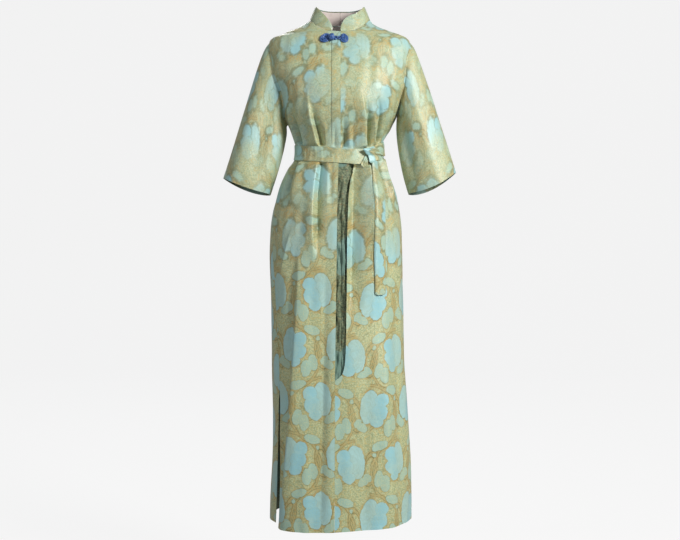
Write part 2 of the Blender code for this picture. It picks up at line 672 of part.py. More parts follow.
def sleeve_grid(side):
    """Outer points and normals of a sleeve, its rows running from the armhole to the cuff."""
    sign = SIGN[side]
    sizes = SLEEVES[side]
    turns, angles, drops = armhole(side)
    start = shell(angles, drops)
    start_normal = shell_normal(angles, drops)
    middle = shell(sign * 90.0, (TIP_DROP + ARMPIT_DROP[side]) / 2)
    into_hole = middle - start
    into_hole -= start_normal * np.sum(into_hole * start_normal, axis=-1, keepdims=True)
    start = start + unit(into_hole) * SEAM_GAP

    outer = np.array([sign * sizes["outer"][0], 0.0, -sizes["outer"][1]])
    inner = np.array([sign * sizes["inner"][0], 0.0, -sizes["inner"][1]])
    centre = (outer + inner) / 2 + np.array([0.0, -CUFF_FORWARD, 0.0])
    front = np.array([0.0, -CUFF_DEPTH / 2, CUFF_BACK_DIP / 2])
    high = np.cos(turns)[:, None]
    fore = np.sin(turns)[:, None]
    bow = np.array([0.0, 0.0, -sizes["bow"]])
    end = centre + high * (outer - inner) / 2 + fore * front + fore**2 * bow

    lean = (CAP_LEAN + sizes["under_lean"]) / 2 + (CAP_LEAN - sizes["under_lean"]) / 2 * high
    fall = (CAP_FALL + UNDER_FALL) / 2 + (CAP_FALL - UNDER_FALL) / 2 * high
    start_pull = np.concatenate([sign * lean, -CAP_FRONT_PULL * fore, -fall], axis=1)
    pull_top = np.array([sign * CUFF_PULL_TOP[0], 0.0, -CUFF_PULL_TOP[1]])
    pull_under = np.array([sign * CUFF_PULL_UNDER[0], 0.0, -CUFF_PULL_UNDER[1]])
    end_pull = (pull_top + pull_under) / 2 + (pull_top - pull_under) / 2 * high

    s = np.array(SLEEVE_ROWS)[:, None, None]
    points = (
        start * (2 * s**3 - 3 * s**2 + 1)
        + start_pull * (s**3 - 2 * s**2 + s)
        + end * (3 * s**2 - 2 * s**3)
        + end_pull * (s**3 - s**2)
    )
    if side == "left":
        points, turns, start_normal = points[:, ::-1], turns[::-1], start_normal[::-1]
    normals = grid_normals(points)
    normals[0] = start_normal
    lift = sleeve_folds(side, turns, np.array(SLEEVE_ROWS))
    points = points + normals * lift[..., None]
    normals = grid_normals(points)
    normals[0] = start_normal
    return points, normals


def grid_normals(points):
    """Outward normals of a grid that closes round its columns."""
    around = np.roll(points, -1, axis=1) - np.roll(points, 1, axis=1)
    return unit(np.cross(np.gradient(points, axis=0), around))


def sleeve_folds(side, turns, along):
    """Height of the sleeve's folds at each turn round the arm and share of its length."""
    lift = np.zeros((len(along), len(turns)))
    radius = CUFF_DEPTH / 2
    for cap_turn, cuff_turn, begin, end, half_width, height in SLEEVE_FOLDS[side]:
        middle = (cap_turn + (cuff_turn - cap_turn) * along[:, None]) * math.pi
        across = (turns - middle) * radius / half_width
        run = (along[:, None] - begin) / (end - begin)
        shown = ease(run / FOLD_FADE) * np.where(end < 1.0, ease((1 - run) / FOLD_FADE), 1.0)
        lift = lift + height * shown * np.exp(-across * across)
    return lift


def build_sleeves(material):
    """Both sleeves, open at the armhole and at the cuff."""
    for side in ("right", "left"):
        points, normals = sleeve_grid(side)
        wall("sleeve_" + side, points, normals, CLOTH, material, closed_round=True)


def build_belt(material):
    """Belt round the waist."""
    angles = np.linspace(-180.0, 180.0, BELT_COLUMNS, endpoint=False)
    offsets = np.linspace(-0.5, 0.5, BELT_ROWS + 1) * BELT_HEIGHT
    angles, offsets = np.meshgrid(angles, offsets)
    drops = belt_drop(angles) + offsets
    lay("belt", angles, drops, LOOSE_GAP + BELT_CLOTH, BELT_CLOTH, material, closed_round=True)


def build_tail(name, edges, lift, material):
    """Hanging end of the belt, between two edges."""
    edges = table(edges, TAIL_COLUMNS)
    rows = np.linspace(edges["drop"][0], edges["drop"][-1], TAIL_ROWS + 1)
    near = angle_at(smooth_through(edges["drop"], edges["near"], rows), rows)
    far = angle_at(smooth_through(edges["drop"], edges["far"], rows), rows)
    angles = spread_columns(near, far, TAIL_ACROSS)
    drops = np.repeat(rows[:, None], TAIL_ACROSS + 1, axis=1)
    lay(name, angles, drops, lift, BELT_CLOTH, material, folded=False)


def build_knot(material):
    """Knot of the belt, a swelling of the cloth over it."""
    across = np.linspace(-1.0, 1.0, KNOT_CELLS + 1)
    down = np.linspace(-1.0, 1.0, KNOT_CELLS + 1)
    across, down = np.meshgrid(across, down)
    middle_drop = belt_drop(KNOT_ANGLE)
    radius = ring_radius(math.radians(KNOT_ANGLE), middle_drop)
    narrow = 1.0 - KNOT_NARROWING * down**2
    angles = KNOT_ANGLE + np.degrees(across * narrow * KNOT_HALF_WIDTH / radius)
    drops = middle_drop + down * KNOT_HALF_HEIGHT
    swell = KNOT_SWELL * np.sqrt(1 - KNOT_ROUNDING["across"] * across**2)
    swell = swell * np.sqrt(1 - KNOT_ROUNDING["down"] * down**2)
    bottom = BELT_CLOTH + 2 * LOOSE_GAP
    lay("belt_knot", angles, drops, bottom + KNOT_LEAST + swell, KNOT_LEAST + swell, material)


def build_belt_ends(material):
    """The two hanging ends, one over the other."""
    layer = LOOSE_GAP + BELT_CLOTH
    build_tail("belt_end_under", BACK_TAIL, layer, material)
    build_tail("belt_end_over", FRONT_TAIL, 2 * layer, material)


def local_patch(place, drop, sideways, down):
    """Shell angles and drops of points given by their distances round and down from one place."""
    middle = angle_at(place, drop)
    radius = ring_radius(np.radians(middle), drop)
    steep = float(shell_normal(middle, drop)[..., 2])
    return middle + np.degrees(sideways / radius), drop + down * math.sqrt(1 - steep**2)


def build_pad(side, material):
    """Flat coil of the frog: a low disc whose top has the ridges of its turns."""
    place, drop, half_width, half_height = PADS[side]
    turns = np.linspace(0.0, 2 * math.pi, PAD_SIDES, endpoint=False)
    share = np.array(PAD_RINGS)
    ridges = np.array(PAD_RIDGES)
    sideways = share[:, None] * half_width * np.cos(turns)
    down = share[:, None] * half_height * np.sin(turns)
    angles, drops = local_patch(place, drop, sideways, down)
    angles = np.concatenate([[angle_at(place, drop)], angles.ravel()])
    drops = np.concatenate([[drop], drops.ravel()])
    height = PAD_HEIGHT * np.concatenate([[PAD_MIDDLE], np.repeat(ridges, PAD_SIDES)])
    index = 1 + np.arange(len(share) * PAD_SIDES).reshape(len(share), PAD_SIDES)
    sheet = [tuple(reversed(face)) for face in grid_sheet(index, closed_round=True)]
    ring = [int(k) for k in index[0]]
    sheet += [(0, ring[(k + 1) % PAD_SIDES], ring[k]) for k in range(PAD_SIDES)]
    normals = shell_normal(angles, drops)
    inner = shell(angles, drops) + normals * LAYER_GAP
    thicken("frog_pad_" + side, inner + normals * height[:, None], inner, sheet, material)


def build_ball(material):
    """Ball of the frog, an oval."""
    place, drop, half_width, half_height = BALL
    angle = angle_at(place, drop)
    normal = shell_normal(angle, drop)
    sizes = np.array([half_width, half_width, half_height])
    centre = shell(angle, drop) + normal * (LAYER_GAP + np.linalg.norm(sizes * normal))
    tilt = np.linspace(0.0, math.pi, BALL_RINGS + 1)[1:-1]
    turn = np.linspace(0.0, 2 * math.pi, BALL_SIDES, endpoint=False)
    tilt, turn = np.meshgrid(tilt, turn, indexing="ij")
    grid = np.stack([np.sin(tilt) * np.sin(turn), -np.sin(tilt) * np.cos(turn), np.cos(tilt)], -1)
    points = np.concatenate([[[0, 0, 1.0]], grid.reshape(-1, 3), [[0, 0, -1.0]]]) * sizes + centre
    index = 1 + np.arange(grid.shape[0] * grid.shape[1]).reshape(grid.shape[:2])
    faces = grid_sheet(index, closed_round=True)
    last = len(points) - 1
    for k in range(BALL_SIDES):
        after = (k + 1) % BALL_SIDES
        faces.append((0, int(index[0, k]), int(index[0, after])))
        faces.append((last, int(index[-1, after]), int(index[-1, k])))
    add_object("frog_ball", points, faces, material)


def build_link(material):
    """Loop of the frog: an oval ring of cord lying on the cloth."""
    place, drop, half_width, half_height = LINK
    turns = np.linspace(0.0, 2 * math.pi, LINK_SIDES, endpoint=False)
    angles, drops = local_patch(place, drop, half_width * np.cos(turns), half_height * np.sin(turns))
    normals = shell_normal(angles, drops)
    line = shell(angles, drops) + normals * (LAYER_GAP + LINK_WIRE)
    outwards = unit(line - line.mean(axis=0))
    round_wire = np.linspace(0.0, 2 * math.pi, LINK_WIRE_SIDES, endpoint=False)
    points = (
        line[:, None]
        + outwards[:, None] * (LINK_WIRE * np.cos(round_wire))[None, :, None]
        + normals[:, None] * (LINK_WIRE * np.sin(round_wire))[None, :, None]
    )
    index = np.arange(LINK_SIDES * LINK_WIRE_SIDES).reshape(LINK_SIDES, LINK_WIRE_SIDES)
    index = np.concatenate([index, index[:1]], axis=0)
    faces = [tuple(reversed(face)) for face in grid_sheet(index, closed_round=True)]
    add_object("frog_loop", points.reshape(-1, 3), faces, material)


def clear_scene():
    """Removes what the startup scene holds."""
    for thing in list(bpy.data.objects):
        bpy.data.objects.remove(thing, do_unlink=True)


def main():
    """Builds every piece of the dress."""
    clear_scene()
    brocade = make_material("brocade", 0.5)
    wrong_side = make_material("wrong_side", 0.7)
    lining = make_material("lining", 0.6)
    satin = make_material("frog_satin", 0.3)
    build_fronts(brocade)
    build_back(brocade)
    build_underlap(wrong_side)
    build_collar(brocade, lining)
    build_neck_lining(lining)
    build_sleeves(brocade)
    build_belt(brocade)
    build_knot(brocade)
    build_belt_ends(brocade)
    build_pad("right", satin)
    build_pad("left", satin)
    build_ball(satin)
    build_link(satin)


main()
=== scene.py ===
"""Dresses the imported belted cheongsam: brocade, lining, satin frog, tied belt and stitching.

Sizes inside the classes are millimetres, as on a cutting sheet, and meshes are made in metres.
Angles run round the body: 0 in front, 90 at the wearer's left, 180 behind. A drop is measured
down from the neck point of the shoulder seam. Every panel lies on one surface, the body form.
"""

import logging
import math
from dataclasses import dataclass
from enum import Enum

import bpy
import numpy as np
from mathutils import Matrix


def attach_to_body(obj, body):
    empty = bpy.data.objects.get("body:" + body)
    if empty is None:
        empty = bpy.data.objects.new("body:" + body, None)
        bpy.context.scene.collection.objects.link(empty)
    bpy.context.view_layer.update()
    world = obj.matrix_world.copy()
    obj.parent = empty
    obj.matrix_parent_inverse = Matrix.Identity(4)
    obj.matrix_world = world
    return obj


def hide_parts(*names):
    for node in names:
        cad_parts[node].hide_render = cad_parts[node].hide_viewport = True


MM = 0.001
TURN = 2 * math.pi
SHARP = math.radians(55)
HEM_GROOVE = 0.4
HEM_GROOVE_WIDTH = 1.8
LOG = logging.getLogger("cheongsam")
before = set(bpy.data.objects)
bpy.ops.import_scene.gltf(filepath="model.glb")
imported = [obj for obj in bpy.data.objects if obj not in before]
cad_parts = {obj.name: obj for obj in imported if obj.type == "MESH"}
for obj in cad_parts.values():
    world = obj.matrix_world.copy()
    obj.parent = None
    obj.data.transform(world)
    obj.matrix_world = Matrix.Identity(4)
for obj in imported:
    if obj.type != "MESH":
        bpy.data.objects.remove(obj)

Points = np.ndarray
Piece = bpy.types.Object
Look = bpy.types.Material
Socket = bpy.types.NodeSocket
Pair = tuple[float, float]
Triple = tuple[float, float, float]
Colour = tuple[float, float, float, float]
Value = Socket | float
Paint = Socket | Colour
Rows = tuple[tuple[float, ...], ...]


class Side(Enum):
    """The wearer's right and left."""

    RIGHT = "right"
    LEFT = "left"

    @property
    def sign(self) -> float:
        """-1 on the wearer's right, where X is negative, and 1 on the left."""
        return -1.0 if self is Side.RIGHT else 1.0

    @property
    def column(self) -> int:
        """Column of this side in the tables that give the right one first."""
        return 1 if self is Side.RIGHT else 2


class ClothFace(Enum):
    """Which face of the brocade a finish shows, with the finish's name."""

    RIGHT_SIDE = "brocade"
    # The wrong side's finish, also used inside the panels, is darkened with painted shade for the
    # recess behind the middle opening.
    WRONG_SIDE_SHADED = "brocade_wrong_side"


def smooth_through(places: Points, values: Points, at: Points) -> Points:
    """Curve through values that never overshoots them.

    Args:
        places: Rising places of the values.
        values: One value for each place.
        at: Where the curve is read; it is held level past both ends.

    Returns:
        The curve's values.
    """
    at = np.clip(np.asarray(at, float), places[0], places[-1])
    steps = np.diff(places)
    slopes = np.diff(values) / steps
    pulls = np.zeros(len(values))
    pulls[0], pulls[-1] = slopes[0], slopes[-1]
    same_way = slopes[:-1] * slopes[1:] > 0
    sums = np.where(same_way, slopes[:-1] + slopes[1:], 1.0)
    pulls[1:-1] = np.where(same_way, 2 * slopes[:-1] * slopes[1:] / sums, 0.0)
    left = np.clip(np.searchsorted(places, at, side="right") - 1, 0, len(places) - 2)
    part = (at - places[left]) / steps[left]
    rest = 1 - part
    return (
        values[left] * rest * rest * (1 + 2 * part)
        + values[left + 1] * part * part * (3 - 2 * part)
        + steps[left] * part * rest * (pulls[left] * rest - pulls[left + 1] * part)
    )


def column_curve(rows: Rows, column: int, at: Points) -> Points:
    """Smooth curve through one column of a table, against its first column."""
    values = np.array(rows, float)
    return smooth_through(values[:, 0], values[:, column], at)


def ease(x: Points) -> Points:
    """Smooth step from 0 to 1."""
    x = np.clip(x, 0, 1)
    return x * x * (3 - 2 * x)


def hump(away: Points, width: float) -> Points:
    """Rounded rise: 1 where away is 0, and little left beyond the width."""
    return np.exp(-((away / width) ** 2))


def round_turn(count: int) -> Points:
    """Angles of points spaced evenly round a ring."""
    return np.linspace(0.0, TURN, count, endpoint=False)


def shares(steps: int) -> Points:
    """Even shares from 0 to 1."""
    return np.linspace(0.0, 1.0, steps + 1)


def superellipse(share: Points, power: float) -> Points:
    """Height over the middle of a rounded square, at a share of its half width."""
    return (1 - share**power) ** (1 / power)


def turned(degrees: Points) -> Points:
    """Angle brought into -180 to 180 degrees."""
    return (np.asarray(degrees, float) + 180.0) % 360.0 - 180.0


def unit(vectors: Points) -> Points:
    """Vectors scaled to length 1."""
    return vectors / np.maximum(np.linalg.norm(vectors, axis=-1, keepdims=True), 1e-9)


def spread(start: Points, end: Points, count: int) -> Points:
    """Grid with one row for each entry of two edges, and count steps between them."""
    return start[:, None] + (end - start)[:, None] * shares(count)


def numbered(rows: int, columns: int, closed: bool = False) -> Points:
    """Point numbers of a grid; a closed one has its first column once more at the end."""
    index = np.arange(rows * columns).reshape(rows, columns)
    return np.concatenate([index, index[:, :1]], axis=1) if closed else index


def run_lengths(points: Points, axis: int) -> Points:
    """Length walked along one axis of a grid of points, from its first entry."""
    steps = np.linalg.norm(np.diff(points, axis=axis), axis=-1)
    return np.insert(np.cumsum(steps, axis=axis), 0, 0.0, axis=axis)


def grid_normals(points: Points, closed_round: bool = False) -> Points:
    """Outward normals of a grid whose rows run down and whose columns run round."""
    if closed_round:
        around = np.roll(points, -1, axis=1) - np.roll(points, 1, axis=1)
    else:
        around = np.gradient(points, axis=1)
    return unit(np.cross(np.gradient(points, axis=0), around))


@dataclass(frozen=True)
class Ripple:
    """Faint unevenness of hanging cloth: a sum of waves, the same on every run."""

    seed: int = 7
    count: int = 11
    shortest: float = 34.0
    longest: float = 150.0
    down_stretch: float = 2.4
    widest_turn: float = 0.9

    def height(self, across: Points, down: Points) -> Points:
        """Height of the cloth, from about -1 to 1, at distances round the body and down it."""
        random = np.random.default_rng(self.seed)
        total = np.zeros(np.broadcast(across, down).shape)
        for _ in range(self.count):
            wave = random.uniform(self.shortest, self.longest)
            turn = random.uniform(-self.widest_turn, self.widest_turn)
            start = random.uniform(0.0, TURN)
            along = across * math.cos(turn) + down * math.sin(turn) / self.down_stretch
            total = total + np.sin(TURN * along / wave + start)
        return total / math.sqrt(self.count)


@dataclass(frozen=True)
class BodyForm:
    """The surface round the body, with the folds of the worn dress on it."""

    roundness: float = 2.3
    waist_drop: float = 370.0
    tip_drop: float = 46.0
    slit_drop: float = 972.0
    hem_drop: float = 1337.0
    shoulder_seam_angle: float = 94.0
    seam_gap: float = 0.3
    armpit_right: float = 278.0
    armpit_left: float = 251.0
    bite_front: float = 19.0
    bite_back: float = 20.0
    spread_front: float = 1.5
    spread_back: float = 2.6
    pinch_half_height: float = 20.6
    pinch_release: float = 5.0
    fold_fade: float = 0.35
    bodice_fade: float = 0.7
    ripple_height: float = 0.9
    # Drop, half width on the right and on the left, depth in front and behind.
    rings: Rows = (
        (-1.6, 80, 80, 37, 40), (4, 87.5, 85, 44, 58), (8, 93.5, 88, 46, 62),
        (18.5, 110, 106, 51, 71), (29.5, 138, 134, 57, 78), (39.8, 159, 164, 63.5, 84),
        (46, 180, 178.5, 68, 87.5), (60, 190, 189, 77, 93), (80, 195, 193, 87, 99),
        (117, 196, 189, 101, 106), (140, 191, 187, 109, 109), (164, 180, 182, 115, 110),
        (186, 166, 176, 120, 109), (212, 158, 166, 121, 106), (240, 153, 156, 118, 102),
        (262, 147, 147, 113, 98), (278, 139.5, 137, 109, 95), (294, 132.5, 129, 104, 91),
        (310, 126.5, 120, 99, 87), (327, 121, 114.5, 94.5, 84), (345, 118.5, 113.5, 91, 82),
        (362, 119.5, 116.5, 91, 82.5), (376, 125, 122, 93.5, 86), (391.5, 136.5, 126, 98, 92),
        (408, 146, 131, 102, 98), (440, 160, 143.5, 110, 109), (472, 170, 153.5, 116, 118),
        (516, 181, 160.5, 120, 124), (560, 186.5, 165, 123, 127), (629, 189, 167.4, 126, 129),
        (748, 186.5, 170, 128, 131), (894, 183.5, 173.5, 131, 133), (1007, 181.5, 180.5, 133, 135),
        (1120, 182, 187, 136, 138), (1234, 186, 192.5, 139, 141), (1337, 190, 193, 141, 143),
    )
    # Angle and drop of the belt's middle line.
    belt_line: Rows = (
        (-180, 341), (-90, 351), (-45, 358), (0, 364), (32, 367), (50, 359), (90, 341), (180, 341),
    )
    # Drop and the side seam's angle on the right and on the left.
    side_seam: Rows = (
        (251, 90, 90), (360, 86, 90), (560, 76, 88), (972, 66, 88), (1337, 66, 86),
    )
    # Angle, and how much lower the hem hangs there than its even line.
    hem_dips: Rows = (
        (-68.6, 0), (-64.5, 12), (-40, 11.5), (-20, 9.5), (0, 6), (20, 4), (60, 1), (86, 0),
    )
    hem_dip_start: float = 1140.0
    # Top angle and drop, low angle and drop, bend between them, width before and after, height.
    folds: Rows = (
        (-63.5, 215, -71.5, 344, 0, 12, 4, 9), (-59.5, 235, -66, 345, 0, 5, 8, -22),
        (-52, 240, -55, 348, 0, 8, 10, 4), (-38.4, 181.5, -33.4, 347, -0.6, 17, 4, 12),
        (-35.8, 225, -30.8, 349, 0, 3.6, 12, -18), (-19.7, 263.6, -23.4, 347.3, 0, 6, 5, 3.5),
        (-6.7, 273.8, -9.2, 347.5, 0, 5, 5, -3.5), (4.8, 262, 6.7, 350, 0, 4.5, 8, -11),
        (10.3, 238.6, 16.6, 352.6, 0, 8, 12, 3.5), (16.3, 248.5, 21.4, 352.5, 0, 6, 6, -4),
        (21.5, 172.4, 42.2, 351.7, 0, 22, 5, 13), (30.5, 215, 46.8, 351, 0, 4, 6, -22),
        (36, 222.3, 58.3, 347.9, 0, 5, 4.5, 7), (41.5, 201.4, 66, 346, 0, 4.5, 5, -20),
        (43.9, 190.7, 82.4, 337.1, 0, 5, 7, 6), (66, 200, 88, 326, 0, 6, 7, -24),
        (89.7, 226.1, 89.9, 319.6, 0, 8, 9, 4), (-70.5, 366, -61.8, 480, 0, 9, 6, -22),
        (-59.2, 366, -53.6, 508, 0, 6, 22, 7), (-32.4, 366, -29.4, 640, -0.8, 22, 3.6, 9),
        (-30, 366, -25, 640, -0.6, 3.6, 15, -17), (-30, 440, -30, 700, 0, 16, 16, 3.5),
        (-18.5, 366, -15.5, 520, 0, 7, 5, 2), (-12.5, 366, -10.2, 520, 0, 9, 6, -3),
        (20, 366, 12.2, 800, -1.5, 8, 28, -20), (42, 366, 37, 640, 0, 16, 12, 10),
        (42, 366, 36.5, 800, -1, 38, 12, 9), (60, 366, 57.5, 490, 0, 4, 12, -24),
        (73.5, 366, 67.4, 483, 0, 5, 7, 8), (52.7, 366, 43.8, 640.2, 0, 8, 10, -4),
        (-42, 530, -64, 1480, 3, 10, 44, 12), (-47, 560, -70, 1480, 3, 18, 7, -8),
        (-52, 545, -65, 710, 0, 4, 9, 4.5), (-17, 540, -21, 1480, 0, 44, 13, -9),
        (30, 900, 22, 1480, 0, 30, 30, -5), (45, 760, 50, 1480, 2, 34, 18, 9),
        (62, 620, 66, 1480, 0, 18, 24, -5), (108, 190, 112, 352, 2, 14, 8, 12.8),
        (124, 230, 122, 352, 0, 6, 10, -13.5), (143, 180, 141, 352, -2, 9, 15, 12.2),
        (160, 250, 158, 352, 0, 7, 6, -12.2), (184, 205, 180, 352, 2, 13, 6, 10.8),
        (203, 240, 206, 352, 0, 6, 10, -12.8), (224, 190, 226, 352, 0, 8, 14, 12.2),
        (245, 230, 243, 352, 0, 9, 6, -10.8), (112, 350, 103, 545, 0, 8, 12, -14.9),
        (130, 350, 126, 700, 2, 18, 7, 12.8), (152, 350, 150, 580, 0, 6, 13, -13.5),
        (176, 350, 172, 780, -2, 9, 20, 12.2), (199, 350, 206, 610, 0, 12, 6, -13.5),
        (226, 350, 233, 720, 0, 8, 18, 12.8), (250, 350, 262, 520, 0, 9, 6, -12.2),
        (122, 620, 116, 1480, 2, 40, 18, 13.5), (150, 700, 153, 1480, 0, 26, 34, -10.8),
        (181, 760, 186, 1480, -2, 22, 40, 12.2), (214, 690, 219, 1480, 0, 34, 26, -10.8),
        (241, 640, 246, 1480, 0, 38, 18, 12.2),
    )
    crest: float = 1.55
    fold_lean: float = 0.95
    normal_step: float = 0.4
    side_most: float = 0.9999
    slit_ease: float = 40.0
    slit_start: float = 0.4

    def ring(self, name: str, drop: Points) -> Points:
        """Size of the ring at a drop: right, left, front or back."""
        column = 1 + ("right", "left", "front", "back").index(name)
        return column_curve(self.rings, column, drop)

    def ring_wide(self, on_right: Points, drop: Points) -> Points:
        """Half width of the ring, on the wearer's right or left."""
        return np.where(on_right, self.ring("right", drop), self.ring("left", drop))

    def ring_deep(self, in_front: Points, drop: Points) -> Points:
        """Depth of the ring, in front or behind."""
        return np.where(in_front, self.ring("front", drop), self.ring("back", drop))

    def radius(self, angle: Points, drop: Points) -> Points:
        """Distance from the middle line to the surface, at an angle in radians."""
        wide = self.ring_wide(np.sin(angle) < 0, drop)
        deep = self.ring_deep(np.cos(angle) > 0, drop)
        power = self.roundness
        total = np.abs(np.sin(angle) / wide) ** power + np.abs(np.cos(angle) / deep) ** power
        return total ** (-1 / power)

    def belt_drop(self, degrees: Points) -> Points:
        """Drop of the belt's middle line."""
        return column_curve(self.belt_line, 1, turned(degrees))

    def _shown(self, top: float, low: float, along: Points) -> Points:
        """How much of a fold shows along its length."""
        if low < self.waist_drop:
            return ease(along / self.bodice_fade) * (along <= 1)
        if top < self.waist_drop:
            return ease((1 - along) / self.fold_fade) * (along >= 0)
        return ease(along / self.fold_fade) * ease((1 - along) / self.fold_fade)

    def relief(self, degrees: Points, drop: Points, radius: Points) -> Points:
        """Height of folds, creases and faint unevenness over the plain surface.

        Args:
            degrees: Angles round the body.
            drop: Drops below the neck point.
            radius: Distances of the surface from the middle line.

        Returns:
            One height for each place.
        """
        total = np.zeros(np.broadcast(degrees, drop).shape)
        for top_angle, top, low_angle, low, bend, before, after, height in self.folds:
            along = (drop - top) / (low - top)
            middle = top_angle + (low_angle - top_angle) * along + 4 * bend * along * (1 - along)
            across = np.radians(turned(degrees - middle)) * radius
            across = np.abs(across) / np.where(across < 0, before, after)
            total = total + height * self._shown(top, low, along) * np.exp(-(across**self.crest))
        round_body = np.radians(turned(degrees)) * radius
        total = total + self.ripple_height * Ripple().height(round_body, drop)
        from_belt = np.abs(drop - self.belt_drop(degrees))
        return total * ease((from_belt - self.pinch_half_height) / self.pinch_release)

    def place(self, degrees: Points, drop: Points, folded: bool = True) -> Points:
        """Points of the surface.

        Args:
            degrees: Angles round the body.
            drop: Drops below the neck point.
            folded: Whether the folds and creases are on it.

        Returns:
            Points in millimetres.
        """
        degrees, drop = np.broadcast_arrays(np.asarray(degrees, float), np.asarray(drop, float))
        angle = np.radians(degrees)
        radius = self.radius(angle, drop)
        dip = column_curve(self.hem_dips, 1, turned(degrees))
        near_hem = ease((drop - self.hem_dip_start) / (self.hem_drop - self.hem_dip_start))
        height = -drop - dip * near_hem
        points = np.stack([radius * np.sin(angle), -radius * np.cos(angle), height], axis=-1)
        if not folded:
            return points
        straight = np.where(np.cos(angle) > 0, turned(degrees), turned(degrees - 180))
        way = angle - self.fold_lean * np.radians(straight) * np.cos(angle) ** 2
        out = np.stack([np.sin(way), -np.cos(way), np.zeros_like(way)], axis=-1)
        return points + self.relief(degrees, drop, radius)[..., None] * out

    def normal(self, degrees: Points, drop: Points, folded: bool = True) -> Points:
        """Outward normals of the surface."""
        step = self.normal_step
        around = self.place(degrees + step, drop, folded) - self.place(degrees - step, drop, folded)
        down = self.place(degrees, drop + step, folded) - self.place(degrees, drop - step, folded)
        return unit(np.cross(down, around))

    def lifted(
        self, degrees: Points, drop: Points, lift: Points, folded: bool = True
    ) -> tuple[Points, Points]:
        """Points at a height over the surface, and the surface's normals there."""
        normals = self.normal(degrees, drop, folded)
        points = self.place(degrees, drop, folded)
        return points + normals * np.asarray(lift)[..., None], normals

    def angle_at(self, sideways: Points, drop: Points) -> Points:
        """Angle of the front of the surface at a distance sideways from the middle line."""
        sideways = np.asarray(sideways, float)
        share = np.abs(sideways) / self.ring_wide(sideways < 0, drop)
        share = np.clip(share, 0.0, self.side_most)
        deep = self.ring("front", drop) * superellipse(share, self.roundness)
        return np.degrees(np.arctan2(sideways, deep))

    def armpit(self, side: Side) -> float:
        """Drop of an armpit."""
        return self.armpit_right if side is Side.RIGHT else self.armpit_left

    def side_edge(self, drop: Points, side: Side, behind: bool) -> Points:
        """Angle, from the front, of a panel's shoulder seam, armhole, side seam and slit.

        Args:
            drop: Drops of the rows.
            side: Which side of the wearer.
            behind: True for the back panel.

        Returns:
            Angles in degrees, all positive.
        """
        drop = np.asarray(drop, float)
        low = self.armpit(side)
        depth = self.bite_back if behind else self.bite_front
        share = np.clip((drop - self.tip_drop) / (low - self.tip_drop), 0, 1)
        bite = depth * np.sqrt(np.clip(1 - (2 * share - 1) ** 2, 0, 1))
        seam = column_curve(self.side_seam, side.column, drop)
        shoulder = self.shoulder_seam_angle
        seam = np.where(drop < low, shoulder + (seam - shoulder) * share, seam)
        open_run = (drop - self.slit_drop) / (self.hem_drop - self.slit_drop)
        widest = self.spread_back if behind else self.spread_front
        run = self.slit_start + (1 - self.slit_start) * open_run
        opened = widest * ease((drop - self.slit_drop) / self.slit_ease) * run
        return seam + (1.0 if behind else -1.0) * (bite + opened)

    def half_gap(self, degrees: Points, drop: Points) -> Points:
        """Half a seam gap, as an angle."""
        return np.degrees(self.seam_gap / 2 / self.radius(np.radians(degrees), drop))


def map_uv(across: Points, up: Points, flower: Pair) -> Points:
    """Pattern coordinates in metres, with the middle of one flower at the origin."""
    return np.stack([across - flower[0], up - flower[1]], axis=-1) * MM


def put_in_scene(thing: Piece) -> Piece:
    """The same object, linked into the scene."""
    bpy.context.scene.collection.objects.link(thing)
    return thing


def object_from(
    name: str, points: Points, faces: list, corner_uv: Points | None = None
) -> Piece:
    """Smooth-shaded object at the origin.

    Args:
        name: Name of the object and its mesh.
        points: Points in millimetres.
        faces: Point numbers of each face, pointing outwards.
        corner_uv: Pattern coordinates of each corner of each face, in order.

    Returns:
        The linked object.
    """
    mesh = bpy.data.meshes.new(name)
    mesh.from_pydata(np.asarray(points, float) * MM, [], faces)
    if corner_uv is not None:
        layer = mesh.uv_layers.new(name="pattern")
        layer.data.foreach_set("uv", np.asarray(corner_uv, np.float32).ravel())
    mesh.shade_smooth()
    mesh.set_sharp_from_angle(angle=SHARP)
    return put_in_scene(bpy.data.objects.new(name, mesh))


def grid_faces(index: Points) -> Points:
    """Faces over a grid of point numbers, as an array with four corners a row."""
    corners = (index[:-1, :-1], index[1:, :-1], index[1:, 1:], index[:-1, 1:])
    return np.stack(corners, -1).reshape(-1, 4)


def cloth_wall(
    name: str, outer: Points, inner: Points, sheet: Points, uv: Points, uv_sheet: Points,
    looks: list,
) -> Piece:
    """Closed wall between an outer and an inner face that share one sheet of faces.

    Args:
        name: Name of the piece.
        outer: Outer points in millimetres.
        inner: Inner points, one for each outer point.
        sheet: Faces of the outer side.
        uv: List of pattern coordinates.
        uv_sheet: Which of them each corner of the sheet has.
        looks: Materials of the outer face and of the inner face.

    Returns:
        The object, its inner faces in the second material.
    """
    count = len(outer)
    edges = np.concatenate([sheet[:, [k, (k + 1) % 4]] for k in range(4)])
    uv_edges = np.concatenate([uv_sheet[:, [k, (k + 1) % 4]] for k in range(4)])
    codes = edges[:, 0] * count + edges[:, 1]
    at_rim = ~np.isin(edges[:, 1] * count + edges[:, 0], codes)
    rim, uv_rim = edges[at_rim], uv_edges[at_rim]
    rim_faces = np.stack([rim[:, 1], rim[:, 0], count + rim[:, 0], count + rim[:, 1]], axis=1)
    faces = np.concatenate([sheet, count + sheet[:, ::-1], rim_faces])
    corners = np.concatenate([uv_sheet, uv_sheet[:, ::-1], uv_rim[:, [1, 0, 0, 1]]])
    piece = object_from(name, np.concatenate([outer, inner]), faces.tolist(), uv[corners])
    for look in looks:
        piece.data.materials.append(look)
    slots = np.zeros(len(faces), np.int32)
    slots[len(sheet) : 2 * len(sheet)] = len(looks) - 1
    piece.data.polygons.foreach_set("material_index", slots)
    return piece


